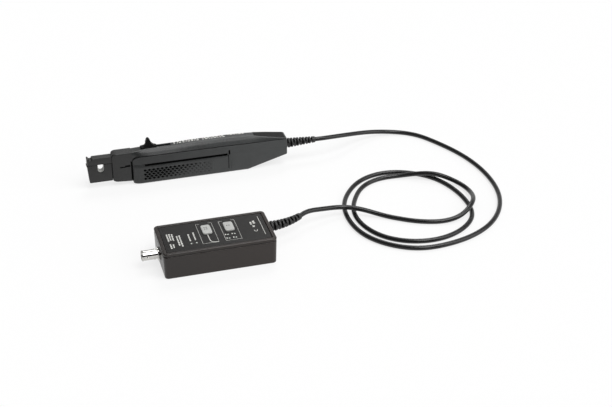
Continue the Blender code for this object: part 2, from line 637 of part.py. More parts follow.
def fixed_jaw(frame, finish):
    """The lower jaw: the conductor slot from above, and a channel for the core round it."""
    rear = NECK_FRONT - FIT
    outline = [(NOSE_FRONT + 2.0, NOSE_BOTTOM), (rear, NOSE_BOTTOM), (rear, JAW_SEAM),
               (NOSE_FRONT, JAW_SEAM), (NOSE_FRONT + LIP, JAW_SEAM - 2.0)]
    body = prism("fixed_jaw", outline, "Y", -NOSE_HALF, NOSE_HALF, frame, finish)
    slot = prism("slot_space", slot_outline(SLEEVE_HALF + FIT, SLEEVE_BOTTOM - FIT, JAW_SEAM + OVER),
                 "Y", -NOSE_HALF - OVER, NOSE_HALF + OVER, frame)
    side = CORE_WIDTH / 2 + FIT
    front_leg = block("front_leg_space", (CORE_FRONT - FIT, CORE_FRONT_REAR + FIT), (-side, side),
                      (CORE_BOTTOM - FIT, JAW_SEAM + OVER), frame)
    bar = block("bar_space", (CORE_FRONT, rear + OVER), (-side, side),
                (CORE_BOTTOM - FIT, CORE_BAR_TOP + FIT), frame)
    return cut(body, slot, front_leg, bar)


def aperture_liner(frame, finish):
    """The light sleeve that lines the conductor slot."""
    top = JAW_SEAM - FIT
    outer = slot_outline(SLEEVE_HALF, SLEEVE_BOTTOM, top)
    inner = slot_outline(SLEEVE_HALF - LINER_WALL, SLEEVE_BOTTOM + LINER_WALL, top)
    prism("aperture_liner", outer + list(reversed(inner)), "Y", -NOSE_HALF, NOSE_HALF, frame, finish)


def lower_core(frame, finish):
    """Ferrite round three sides of the aperture, with its rear leg inside the neck."""
    rear = REAR_LEG + CORE_LEG
    outline = [(CORE_FRONT, CORE_BOTTOM), (rear, CORE_BOTTOM), (rear, REAR_LEG_TOP),
               (REAR_LEG, REAR_LEG_TOP), (REAR_LEG, CORE_BAR_TOP), (CORE_FRONT_REAR, CORE_BAR_TOP),
               (CORE_FRONT_REAR, JAW_SEAM - 0.1), (CORE_FRONT, JAW_SEAM - 0.1)]
    prism("lower_core", outline, "Y", -CORE_WIDTH / 2, CORE_WIDTH / 2, frame, finish)


def sense_coil(frame, finish):
    """The winding round the core's rear leg, as one sleeve."""
    centre = (REAR_LEG + CORE_LEG / 2, 0.0)
    inner = (CORE_LEG + 2 * FIT, CORE_WIDTH + 2 * FIT)
    outer = (inner[0] + 2 * COIL_WALL, inner[1] + 2 * COIL_WALL)
    low = CORE_BAR_TOP + FIT
    high = min(low + COIL_HEIGHT, REAR_LEG_TOP)
    body = prism("sense_coil", rounded(centre, outer, COIL_WALL), "Z", low, high, frame, finish)
    cut(body, prism("coil_bore", rounded(centre, inner, 0.3, 1), "Z", low - OVER, high + OVER, frame))


def hall_sensor(frame, finish):
    low = REAR_LEG_TOP + FIT
    block("hall_sensor", (REAR_LEG, REAR_LEG + CORE_LEG), (-CORE_WIDTH / 2, CORE_WIDTH / 2),
          (low, low + SENSOR_HEIGHT), frame, finish)


def upper_jaw(frame, finish):
    """The sliding jaw with its tongue, and a channel for the upper core in its underside."""
    front = NOSE_FRONT + LIP
    nick = NOSE_TOP - 1.7
    outline = [(front, SLIDE_BOTTOM), (JAW_REAR, SLIDE_BOTTOM), (JAW_REAR, NOSE_TOP),
               (front + 5.0, NOSE_TOP), (front + 4.4, nick), (front + 2.2, nick),
               (front + 1.4, NOSE_TOP - 0.1), (front, NOSE_TOP)]
    body = prism("upper_jaw", outline, "Y", -NOSE_HALF, NOSE_HALF, frame, finish)
    tongue = block("jaw_tongue", (JAW_REAR - 1.0, TONGUE_REAR), (-TONGUE_WIDTH / 2, TONGUE_WIDTH / 2),
                   (SLIDE_BOTTOM + 0.1, TONGUE_TOP), frame)
    side = CORE_WIDTH / 2 + FIT
    channel = block("upper_core_space", (CORE_FRONT - FIT, REAR_LEG + CORE_LEG + FIT), (-side, side),
                    (SLIDE_BOTTOM - OVER, SLIDE_BOTTOM + UPPER_CORE_HEIGHT + FIT), frame)
    join(body, tongue)
    return cut(body, channel)


def upper_core(frame, finish):
    block("upper_core", (CORE_FRONT, REAR_LEG + CORE_LEG), (-CORE_WIDTH / 2, CORE_WIDTH / 2),
          (SLIDE_BOTTOM, SLIDE_BOTTOM + UPPER_CORE_HEIGHT), frame, finish)


def slide_carriage(frame, finish):
    """The bar behind the jaw's tongue; the guide rod runs into its bore."""
    body = block("slide_carriage", (CARRIAGE_FRONT, CARRIAGE_REAR),
                 (-TONGUE_WIDTH / 2, TONGUE_WIDTH / 2), (SLIDE_BOTTOM, TONGUE_TOP), frame, finish)
    bore = rod("carriage_bore", "X", (0.0, ROD_HEIGHT), ROD_RADIUS + FIT,
               CARRIAGE_REAR - ROD_REACH - JAW_TRAVEL - OVER, CARRIAGE_REAR + OVER, frame, steps=12)
    cut(body, bore)


def thumb_lever(frame, finish):
    """Saddle and fin on the roof, a stem through the slot, and a shutter under the cover."""
    saddle_low = ROOF_HEIGHT + FIT
    saddle_high = saddle_low + SADDLE_HEIGHT
    middle = SADDLE_FRONT + SADDLE_LENGTH / 2
    half = SADDLE_WIDTH / 2
    body = prism("thumb_lever", rounded((middle, 0.0), (SADDLE_LENGTH, SADDLE_WIDTH), half - 0.4),
                 "Z", saddle_low, saddle_high, frame, finish)
    foot, tip = saddle_high - 0.2, saddle_high + FIN_HEIGHT
    fin = [(SADDLE_FRONT + 1.2, foot), (SADDLE_REAR - 1.4, foot), (SADDLE_REAR - 3.2, foot + 1.2),
           (SADDLE_REAR - 4.8, foot + 3.6), (SADDLE_REAR - 6.0, tip - 1.6), (SADDLE_REAR - 7.0, tip),
           (SADDLE_REAR - 8.2, tip - 0.5), (SADDLE_REAR - 8.8, tip - 4.0),
           (SADDLE_REAR - 10.0, foot + 2.2), (SADDLE_FRONT + 4.4, foot + 0.8)]
    blade = prism("lever_fin", fin, "Y", -FIN_WIDTH / 2, FIN_WIDTH / 2, frame)
    stem_half = SLOT_WIDTH / 2 - FIT
    stem = block("lever_stem", (STEM_FRONT, STEM_REAR), (-stem_half, stem_half),
                 (TONGUE_TOP + FIT, saddle_high - 0.2), frame)
    shutter_high = ROOF_HEIGHT - COVER_WALL - FIT
    shutter = block("lever_shutter", (STEM_FRONT - 4.0, SADDLE_REAR + SHUTTER_REACH),
                    (-SHUTTER_WIDTH / 2, SHUTTER_WIDTH / 2),
                    (shutter_high - SHUTTER_THICKNESS, shutter_high), frame)
    return join(body, blade, stem, shutter)


# ---------------------------------------------------------------- inside the probe
ROD_REACH = 5.5             # rod inside the carriage when the jaw is shut
CLAMP_PLACE = -13.0
CLAMP_BOTTOM = 16.0


def slide_parts(frame, look):
    """Rail, guide rod, return spring, detent and the switch that tells when the jaw is shut."""
    rail_half = INNER_HALF - 0.4 - FIT
    block("slide_rail", (GRIP_FRONT + WALL + FIT, CARRIAGE_REAR + RAIL_OVERLAP), (-rail_half, rail_half),
          (RAIL_BOTTOM, RAIL_TOP), frame, look["steel"])
    head = STOP_REAR + FIT
    smooth(turned("guide_rod", [(CARRIAGE_REAR - ROD_REACH, ROD_RADIUS), (head, ROD_RADIUS),
                                (head, 2 * ROD_RADIUS), (head + 1.5, 2 * ROD_RADIUS)], "X",
                  (0.0, ROD_HEIGHT), 12, frame, look["steel"]))
    spring = rod("return_spring", "X", (0.0, ROD_HEIGHT), SPRING_RADIUS, SPRING_FRONT,
                 STOP_FRONT - FIT, frame, look["steel"])
    cut(spring, rod("spring_bore", "X", (0.0, ROD_HEIGHT), SPRING_RADIUS - SPRING_WIRE,
                    SPRING_FRONT - OVER, STOP_FRONT, frame, steps=12))
    side = TONGUE_WIDTH / 2 + 2 * FIT
    low = RAIL_TOP + FIT
    switch_x = CARRIAGE_REAR - SWITCH_SIZE[0] - 1.5
    reach = min(SWITCH_SIZE[1], rail_half - side)
    block("jaw_switch", (switch_x, switch_x + SWITCH_SIZE[0]), (side, side + reach),
          (low, low + SWITCH_SIZE[2]), frame, look["black"])
    start = GRIP_FRONT + WALL + 6.0
    outer = [(start, -rail_half), (start + 5.0, -rail_half), (start + 10.0, -side - 0.7),
             (start + 12.0, -side - 0.6), (start + 14.0, -side - 1.0)]
    leaf = outer + [(x, y + DETENT_WIRE) for x, y in reversed(outer)]
    prism("detent_spring", leaf, "Z", low, low + 2.6, frame, look["steel"])


def head_electronics(frame, look):
    """Board on its posts, amplifier, plug, inner lead and its clamp."""
    half = INNER_HALF - 2 * FIT
    middle = (BOARD_FRONT + BOARD_REAR) / 2
    board = prism("head_board", rounded((middle, 0.0), (BOARD_REAR - BOARD_FRONT, 2 * half), 1.0, 1), "Z",
                  BOARD_HEIGHT, BOARD_TOP, frame, look["board"])
    for index, x in enumerate(SCREW_PLACES):
        if BOARD_FRONT < x < BOARD_REAR:
            cut(board, rod(f"board_hole_{index}", "Z", (x, 0.0), BOSS_RADIUS + FIT,
                           BOARD_HEIGHT - OVER, BOARD_TOP + OVER, frame))
    low = BOARD_TOP + FIT
    block("amplifier_chip", (middle - CHIP_SIZE[0] / 2, middle + CHIP_SIZE[0] / 2),
          (-CHIP_SIZE[1] / 2, CHIP_SIZE[1] / 2), (low, low + CHIP_SIZE[2]), frame, look["black"])
    block("cord_connector", (PLUG_REAR - PLUG_SIZE[0], PLUG_REAR),
          (-PLUG_SIZE[1] / 2, PLUG_SIZE[1] / 2), (low, low + PLUG_SIZE[2]), frame, look["ivory"])
    lead_low = low + PLUG_SIZE[2] / 2
    lead_end = -WALL - 2 * FIT - FLANGE_THICKNESS - 0.6
    bend = SCREW_PLACES[2] - BOSS_RADIUS - 6.0
    aside = BOSS_RADIUS + LEAD_RADIUS + 2 * FIT
    path, _ = through([(PLUG_REAR + FIT, 0.0, lead_low), (bend - 4.0, 0.6, lead_low),
                       (bend + 3.0, 0.8 * aside, lead_low), (SCREW_PLACES[2], aside, lead_low + 0.6),
                       (CLAMP_PLACE - 8.0, 0.6 * aside, CORD_HEIGHT - 0.9),
                       (CLAMP_PLACE - 3.0, 0.0, CORD_HEIGHT), (CLAMP_PLACE + 1.0, 0.0, CORD_HEIGHT),
                       (lead_end, 0.0, CORD_HEIGHT)], 2.5)
    return path


def screws(frame, finish):
    for label, x in zip(("front", "middle", "rear"), SCREW_PLACES):
        seat = screw_seat(x) - FIT
        smooth(turned(f"housing_screw_{label}",
                      [(seat - HEAD_THICKNESS, SCREW_HEAD), (seat, SCREW_HEAD), (seat, SCREW_RADIUS),
                       (LEDGE_TOP - 0.4, SCREW_RADIUS)], "Z", (x, 0.0), 12, frame, finish))


def sleeve(name, start, turn, length, profile, frame, finish, sides=14):
    """A ribbed sleeve along an arc in plan that starts towards +X; profile: (distance, radius)."""
    rings = []
    for distance, radius in profile:
        angle = turn * max(0.0, distance) / length
        if abs(turn) > 1e-6 and distance > 0.0:
            bend = length / turn
            centre = (start[0] + bend * math.sin(angle), start[1] + bend * (1 - math.cos(angle)))
        else:
            centre = (start[0] + distance, start[1])
        across = (-math.sin(angle), math.cos(angle))
        rings.append([(centre[0] + a * across[0], centre[1] + a * across[1], start[2] + b)
                      for a, b in circle((0.0, 0.0), radius, sides)])
    return smooth(loft(name, rings, frame, finish), 25.0)


def relief_profile(wall, length):
    """Flange inside the wall, neck through it, then ribs that taper towards the cord."""
    profile = [(-wall - FIT - FLANGE_THICKNESS, RELIEF_FLANGE), (-wall - FIT, RELIEF_FLANGE),
               (-wall - FIT, RELIEF_NECK), (FIT, RELIEF_NECK), (FIT, RELIEF_ROOT)]
    pitch = (length - 4.0) / RIB_COUNT
    for rib in range(RIB_COUNT):
        at = 2.0 + rib * pitch
        size = RELIEF_ROOT + (RELIEF_TIP - RELIEF_ROOT) * at / length
        profile += [(at, size), (at + 0.15 * pitch, size - RIB_DEPTH),
                    (at + 0.4 * pitch, size - RIB_DEPTH), (at + 0.55 * pitch, size)]
    return profile + [(length, RELIEF_TIP)]


# ---------------------------------------------------------------- control box
LID_SEAM = BOX_HEIGHT - LID_DEPTH
LID_BOTTOM = LID_SEAM + FIT
RECESS_FLOOR = BOX_HEIGHT - RECESS_DEPTH
LABEL_BOTTOM = RECESS_FLOOR + FIT
LABEL_TOP = LABEL_BOTTOM + LABEL_THICKNESS
LID_INSIDE = RECESS_FLOOR - LID_PLATE
BOX_BOARD_TOP = BOX_BOARD_HEIGHT + BOARD_THICKNESS
HALF_LENGTH = BOX_LENGTH / 2
HALF_WIDTH = BOX_WIDTH / 2
POST_Y = HALF_WIDTH - BOX_WALL - BOX_DRAFT - BOX_POST_RADIUS
POST_PLACES = [(sx * (HALF_LENGTH - BOX_POST_FROM_END), sy * POST_Y)
               for sx in (-1, 1) for sy in (-1, 1)]
SOCKET_REAR = -HALF_LENGTH
BARREL_FRONT = SOCKET_REAR - BARREL_LENGTH
SOCKET_INSIDE = SOCKET_REAR + BOX_WALL + BOX_DRAFT
SWITCH_HEIGHT = 3.6
LAMPS = [("status_lamp", place) for place in STATUS_LAMPS] + [("range_lamp", place) for place in RANGE_LAMPS]
BUTTONS = (("zero", ZERO_BUTTON_X), ("range", RANGE_BUTTON_X))


def box_ring(z, grow, corner=BOX_CORNER):
    size = (BOX_LENGTH + 2 * grow, BOX_WIDTH + 2 * grow)
    return [(x, y, z) for x, y in rounded((0.0, 0.0), size, corner + grow)]


def box_base(frame, finish):
    """The tray of the box, with screw posts, board standoffs and the holes in its two ends."""
    body = loft("box_base", [box_ring(0.0, -BOX_DRAFT - 0.8), box_ring(0.8, -BOX_DRAFT),
                             box_ring(LID_SEAM, 0.0)], frame, finish)
    hollow = loft("base_hollow", [box_ring(BOX_WALL, -BOX_WALL - BOX_DRAFT),
                                  box_ring(LID_SEAM + OVER, -BOX_WALL)], frame)
    cut(body, hollow)
    for index, place in enumerate(POST_PLACES):
        join(body, rod(f"base_post_{index}", "Z", place, BOX_POST_RADIUS, BOX_WALL / 2,
                       BOX_POST_HEIGHT, frame))
    for index, (sx, sy) in enumerate(((-1, -1), (-1, 1), (1, -1), (1, 1))):
        join(body, rod(f"standoff_{index}", "Z", (sx * 0.62 * HALF_LENGTH, sy * 0.55 * HALF_WIDTH),
                       STANDOFF_RADIUS, BOX_WALL / 2, BOX_BOARD_HEIGHT - FIT, frame, steps=12))
    for index, place in enumerate(POST_PLACES):
        cut(body, rod(f"base_bore_{index}", "Z", place, BOX_SCREW_RADIUS + FIT, -OVER,
                      BOX_POST_HEIGHT + OVER, frame, steps=12),
            rod(f"base_seat_{index}", "Z", place, BOX_SCREW_HEAD + FIT, -OVER, BOX_WALL + 1.0, frame))
    reach = (-HALF_LENGTH - OVER, -HALF_LENGTH + BOX_WALL + BOX_DRAFT + OVER)
    cut(body, rod("socket_hole", "X", (0.0, SOCKET_HEIGHT), THREAD_RADIUS + FIT, *reach, frame),
        rod("box_relief_hole", "X", (BOX_RELIEF_Y, BOX_RELIEF_HEIGHT), RELIEF_NECK + FIT,
            -reach[1], -reach[0], frame),
        prism("jack_hole", jack_outline(FIT), "X", -reach[1], -reach[0], frame))
    return body


def jack_outline(grow):
    """The oval mouth of the power inlet, on the board."""
    height = JACK_SIZE[2] + 2 * grow
    centre = (JACK_Y, BOX_BOARD_TOP + FIT + JACK_SIZE[2] / 2)
    return rounded(centre, (JACK_SIZE[1] + 2 * grow, height), height / 2 - 0.05)


def box_lid(frame, finish):
    """The lid: a raised rim round the label's recess, bosses for the screws, holes for keys."""
    body = loft("box_lid", [box_ring(LID_BOTTOM, 0.0), box_ring(BOX_HEIGHT - LID_CHAMFER, 0.0),
                            box_ring(BOX_HEIGHT, -LID_CHAMFER)], frame, finish)
    cut(body, loft("lid_hollow", [box_ring(LID_BOTTOM - OVER, -BOX_WALL),
                                  box_ring(LID_INSIDE, -BOX_WALL)], frame),
        loft("lid_recess", [box_ring(RECESS_FLOOR, -RIM_WIDTH), box_ring(BOX_HEIGHT + OVER, -RIM_WIDTH)],
             frame))
    for index, place in enumerate(POST_PLACES):
        join(body, rod(f"lid_boss_{index}", "Z", place, BOX_POST_RADIUS, BOX_POST_HEIGHT + FIT,
                       LID_INSIDE + LID_PLATE / 2, frame))
        cut(body, rod(f"lid_bore_{index}", "Z", place, BOX_SCREW_RADIUS + FIT, BOX_POST_HEIGHT - OVER,
                      LID_INSIDE - 0.4, frame, steps=12))
    return cut(body, *key_cutters("lid", frame))


def key_cutters(label, frame):
    """Cutters for the two buttons and the lamps, through lid or label."""
    tools = []
    size = (BUTTON_SIZE[0] + 2 * FIT, BUTTON_SIZE[1] + 2 * FIT)
    for name, x in BUTTONS:
        outline = rounded((x, BUTTON_Y), size, BUTTON_CORNER + FIT)
        tools.append(prism(f"{label}_{name}_hole", outline, "Z", LID_INSIDE - OVER, BOX_HEIGHT + OVER,
                           frame))
    for index, (_, place) in enumerate(LAMPS):
        tools.append(rod(f"{label}_lamp_hole_{index}", "Z", place, LAMP_RADIUS + FIT,
                         LID_INSIDE - OVER, BOX_HEIGHT + OVER, frame, steps=10))
    return tools


def label_panel(frame, finish):
    ring = [box_ring(z, -RIM_WIDTH - FIT) for z in (LABEL_BOTTOM, LABEL_TOP)]
    return cut(loft("label_panel", ring, frame, finish), *key_cutters("label", frame))


def button(name, x, frame, finish):
    """A key that stands proud of the label, held by its flange and bearing on a switch."""
    centre = (x, BUTTON_Y)
    flange_top = LID_INSIDE - FIT
    flange = (BUTTON_SIZE[0] + 2 * BUTTON_FLANGE, BUTTON_SIZE[1] + 2 * BUTTON_FLANGE)
    top = LABEL_TOP + BUTTON_PROUD
    rings = []
    for z, size, corner in ((flange_top - 1.0, flange, BUTTON_CORNER), (flange_top, flange, BUTTON_CORNER),
                            (flange_top, BUTTON_SIZE, BUTTON_CORNER), (top - 0.5, BUTTON_SIZE, BUTTON_CORNER),
                            (top, (BUTTON_SIZE[0] - 1.0, BUTTON_SIZE[1] - 1.0), BUTTON_CORNER - 0.5)):
        rings.append([(a, b, z) for a, b in rounded(centre, size, corner)])
    body = loft(f"{name}_button", rings, frame, finish)
    foot = BOX_BOARD_TOP + FIT + SWITCH_HEIGHT + BUTTON_TRAVEL + FIT
    return join(body, rod(f"{name}_stem", "Z", centre, 2.0, foot, flange_top - 0.5, frame, steps=12))


def control_board(frame, look):
    """The box's board with its switches, lamps, shield, cord socket and power inlet."""
    size = (BOX_LENGTH - 2 * (BOX_WALL + BOX_BOARD_GAP), BOX_WIDTH - 2 * (BOX_WALL + BOX_BOARD_GAP))
    board = prism("control_board", rounded((0.0, 0.0), size, 2.0), "Z", BOX_BOARD_HEIGHT,
                  BOX_BOARD_TOP, frame, look["board"])
    through_board = (BOX_BOARD_HEIGHT - OVER, BOX_BOARD_TOP + OVER)
    for index, place in enumerate(POST_PLACES):
        cut(board, rod(f"post_clearance_{index}", "Z", place, BOX_POST_RADIUS + 2 * FIT,
                       *through_board, frame))
    half = NUT_RADIUS + 2 * FIT
    cut(board, block("socket_notch", (-HALF_LENGTH, SOCKET_INSIDE + THREAD_LENGTH + 2 * FIT),
                     (-half, half), through_board, frame),
        block("relief_notch", (HALF_LENGTH - BOX_WALL - BOX_DRAFT - FLANGE_THICKNESS - 3 * FIT, HALF_LENGTH),
              (BOX_RELIEF_Y - RELIEF_FLANGE - FIT, BOX_RELIEF_Y + RELIEF_FLANGE + FIT), through_board,
              frame))
    low = BOX_BOARD_TOP + FIT
    for name, x in BUTTONS:
        block(f"{name}_switch", (x - 3.0, x + 3.0), (BUTTON_Y - 3.0, BUTTON_Y + 3.0),
              (low, low + SWITCH_HEIGHT), frame, look["black"])
    for index, (name, place) in enumerate(LAMPS):
        number = index + 1 if name == "status_lamp" else index - len(STATUS_LAMPS) + 1
        smooth(rod(f"{name}_{number}", "Z", place, LAMP_RADIUS, low, LABEL_TOP, frame, look["lamp"], 10))
    can = prism("shield_can", rounded(CAN_PLACE, CAN_SIZE[:2], 1.0, 1), "Z", low, low + CAN_SIZE[2],
                frame, look["steel"])
    cut(can, prism("can_hollow", rounded(CAN_PLACE, (CAN_SIZE[0] - 1.0, CAN_SIZE[1] - 1.0), 0.5, 1),
                   "Z", low - OVER, low + CAN_SIZE[2] - 0.5, frame))
    jack = prism("power_jack", jack_outline(0.0), "X", HALF_LENGTH - JACK_SIZE[0] - 0.4,
                 HALF_LENGTH - 0.4, frame, look["nickel"])
    cut(jack, prism("jack_mouth", jack_outline(-JACK_WALL), "X", HALF_LENGTH - JACK_SIZE[0] + 1.0,
                    HALF_LENGTH + OVER, frame))


def coaxial_socket(frame, look):
    """The bayonet coaxial socket in the left end: barrel, insulator, contact, washer and nut."""
    centre = (0.0, SOCKET_HEIGHT)
    collar = SOCKET_REAR - FIT - COLLAR_LENGTH
    body = smooth(turned("bnc_body", [(BARREL_FRONT, BARREL_RADIUS - 0.4), (BARREL_FRONT + 0.4, BARREL_RADIUS),
                                      (collar, BARREL_RADIUS), (collar, COLLAR_RADIUS),
                                      (SOCKET_REAR - FIT, COLLAR_RADIUS),
                                      (SOCKET_REAR - FIT, THREAD_RADIUS),
                                      (SOCKET_INSIDE + THREAD_LENGTH, THREAD_RADIUS)], "X", centre, 24, frame,
                         look["nickel"]))
    for side, sign in (("near", -1), ("far", 1)):
        inner, outer = sign * (BARREL_BORE + 0.4), sign * (BARREL_RADIUS + LUG_HEIGHT)
        outline = circle((BARREL_FRONT + LUG_FROM_FRONT, SOCKET_HEIGHT), LUG_RADIUS, 10)
        join(body, prism(f"{side}_lug", outline, "Y", *sorted((inner, outer)), frame))
    cut(body, rod("barrel_bore", "X", centre, BARREL_BORE, BARREL_FRONT - OVER,
                  SOCKET_INSIDE + THREAD_LENGTH + OVER, frame, steps=24))
    step = BARREL_FRONT + 8.0
    core = smooth(turned("bnc_insulator", [(BARREL_FRONT + 1.6, 0.58 * BARREL_BORE), (step, 0.58 * BARREL_BORE),
                                           (step, BARREL_BORE - FIT),
                                           (SOCKET_INSIDE + THREAD_LENGTH - 0.5, BARREL_BORE - FIT)], "X",
                         centre, 20, frame, look["ivory"]))
    cut(core, rod("insulator_bore", "X", centre, CONTACT_RADIUS + FIT, BARREL_FRONT,
                  SOCKET_INSIDE + THREAD_LENGTH + OVER, frame, steps=12))
    contact = smooth(rod("bnc_contact", "X", centre, CONTACT_RADIUS, BARREL_FRONT + 2.2,
                         SOCKET_INSIDE + THREAD_LENGTH + 2.5, frame, look["gold"], 12))
    cut(contact, rod("contact_bore", "X", centre, 0.5 * CONTACT_RADIUS, BARREL_FRONT + 1.0,
                     BARREL_FRONT + 8.0, frame, steps=8))
    washer = SOCKET_INSIDE + FIT
    plate = rod("bnc_washer", "X", centre, NUT_RADIUS, washer, washer + WASHER_THICKNESS,
                frame, look["steel"], 20)
    cut(plate, rod("washer_bore", "X", centre, THREAD_RADIUS + FIT, washer - OVER,
                   washer + WASHER_THICKNESS + OVER, frame))
    nut = washer + WASHER_THICKNESS + FIT
    ring = rod("bnc_nut", "X", centre, NUT_RADIUS, nut, nut + NUT_THICKNESS, frame, look["nickel"], 6)
    cut(ring, rod("nut_bore", "X", centre, THREAD_RADIUS + FIT, nut - OVER, nut + NUT_THICKNESS + OVER, frame))


def box_screws(frame, finish):
    for index, place in enumerate(POST_PLACES):
        seat = BOX_WALL + 1.0 - FIT
        smooth(turned(f"box_screw_{index + 1}", [(seat - 1.6, BOX_SCREW_HEAD), (seat, BOX_SCREW_HEAD),
                                                 (seat, BOX_SCREW_RADIUS),
                                                 (LID_INSIDE - 1.2, BOX_SCREW_RADIUS)],
                      "Z", place, 12, frame, finish))


# ---------------------------------------------------------------- cord
def free_cord(frame, start, end, out_of_box, finish):
    """The free cord between the two strain reliefs; prints its length and its least gap."""
    straight = 1.8 * CORD_DIAMETER
    after_start = (start[0] + straight, start[1], start[2] - 0.1)
    before_end = tuple(end[k] + straight * out_of_box[k] for k in range(3))
    points, length = through([start, after_start, *ROUTE, before_end, end], CORD_STEP)
    points[:, 2] = np.maximum(points[:, 2], LYING)
    dense, _ = through(points, 1.5)
    apart = np.linalg.norm(dense[:, None, :] - dense[None, :, :], axis=2)
    index = np.arange(len(dense))
    far = np.abs(index[:, None] - index[None, :]) * 1.5 > 12 * CORD_DIAMETER
    print(f"cord length {length:.0f} mm, least gap to itself {apart[far].min() - CORD_DIAMETER:.2f} mm")
    return tube("cord", points, CORD_DIAMETER / 2, 2, frame, finish)


# ---------------------------------------------------------------- assembly
def build():
    for old in list(bpy.data.objects):
        bpy.data.objects.remove(old, do_unlink=True)
    look = finishes()
    ground = Frame("ground", (0.0, 0.0, 0.0))
    probe = Frame("probe", (*PROBE_PLACE, 0.0), ground)
    slide_origin = (CARRIAGE_REAR, 0.0, ROD_HEIGHT)
    slide = Frame("jaw_slide", slide_origin, probe, slide_origin)
    box = Frame("box", (*BOX_PLACE, 0.0), ground)

    lower_housing(probe, look["charcoal"])
    upper_housing(probe, look["charcoal"])
    top_cover(probe, look["charcoal"])
    head_block(probe, look["charcoal"])
    fixed_jaw(probe, look["charcoal"])
    aperture_liner(probe, look["ivory"])
    grip_panels(probe, look["grip"])
    lower_core(probe, look["ferrite"])
    sense_coil(probe, look["copper"])
    hall_sensor(probe, look["black"])
    slide_parts(probe, look)
    screws(probe, look["steel"])
    path = head_electronics(probe, look)
    tube("probe_inner_lead", path, LEAD_RADIUS, 2, probe, look["rubber"])
    clamp = block("probe_cable_clamp", (CLAMP_PLACE - 2.0, CLAMP_PLACE + 2.0), (-3.6, 3.6),
                  (CLAMP_BOTTOM, CORD_HEIGHT + LEAD_RADIUS + 1.8), probe, look["black"])
    cut(clamp, rod("clamp_bore", "X", (0.0, CORD_HEIGHT), LEAD_RADIUS + FIT, CLAMP_PLACE - 3.0,
                   CLAMP_PLACE + 3.0, probe, steps=12))
    sleeve("probe_strain_relief", (0.0, 0.0, CORD_HEIGHT), 0.0, RELIEF_LENGTH,
           relief_profile(WALL + 0.6, RELIEF_LENGTH), probe, look["rubber"])

    upper_jaw(slide, look["charcoal"])
    upper_core(slide, look["ferrite"])
    slide_carriage(slide, look["black"])
    thumb_lever(slide, look["charcoal"])

    box_base(box, look["black"])
    box_lid(box, look["black"])
    label_panel(box, look["label"])
    for name, x in BUTTONS:
        origin = (x, BUTTON_Y, LABEL_TOP)
        button(name, x, Frame(f"{name}_press", origin, box, origin), look["key"])
    control_board(box, look)
    coaxial_socket(box, look)
    box_screws(box, look["steel"])
    relief_start = (HALF_LENGTH, BOX_RELIEF_Y, BOX_RELIEF_HEIGHT)
    sleeve("box_strain_relief", relief_start, BOX_RELIEF_TURN, BOX_RELIEF_LENGTH,
           relief_profile(BOX_WALL + BOX_DRAFT, BOX_RELIEF_LENGTH), box, look["rubber"])
    socket_x = HALF_LENGTH - BOX_WALL - BOX_BOARD_GAP - 12.0
    low = BOX_BOARD_TOP + FIT
    block("cord_socket", (socket_x - 7.0, socket_x), (CORD_SOCKET_Y - 3.5, CORD_SOCKET_Y + 3.5),
          (low, low + 5.0), box, look["ivory"])
    lead_end = HALF_LENGTH - BOX_WALL - BOX_DRAFT - 2 * FIT - FLANGE_THICKNESS
    lead, _ = through([(socket_x + FIT, CORD_SOCKET_Y, low + 2.6),
                       (socket_x + 4.0, CORD_SOCKET_Y + 1.0, low + 2.8),
                       (lead_end - 3.2, BOX_RELIEF_Y - 0.6, BOX_RELIEF_HEIGHT - 0.2),
                       (lead_end - 1.5, BOX_RELIEF_Y, BOX_RELIEF_HEIGHT),
                       (lead_end, BOX_RELIEF_Y, BOX_RELIEF_HEIGHT)], 2.0)
    tube("box_inner_lead", lead, LEAD_RADIUS, 2, box, look["rubber"])

    start = (PROBE_PLACE[0] + RELIEF_LENGTH + FIT, PROBE_PLACE[1], CORD_HEIGHT)
    radius = BOX_RELIEF_LENGTH / BOX_RELIEF_TURN
    heading = (math.cos(BOX_RELIEF_TURN), math.sin(BOX_RELIEF_TURN), 0.0)
    mouth = (BOX_PLACE[0] + HALF_LENGTH + radius * heading[1],
             BOX_PLACE[1] + BOX_RELIEF_Y + radius * (1 - heading[0]), BOX_RELIEF_HEIGHT)
    end = tuple(mouth[k] + FIT * heading[k] for k in range(3))
    free_cord(ground, start, end, heading, look["rubber"])


build()
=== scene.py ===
import json
import math

import bmesh
import bpy
import numpy as np
from mathutils import Matrix, Vector

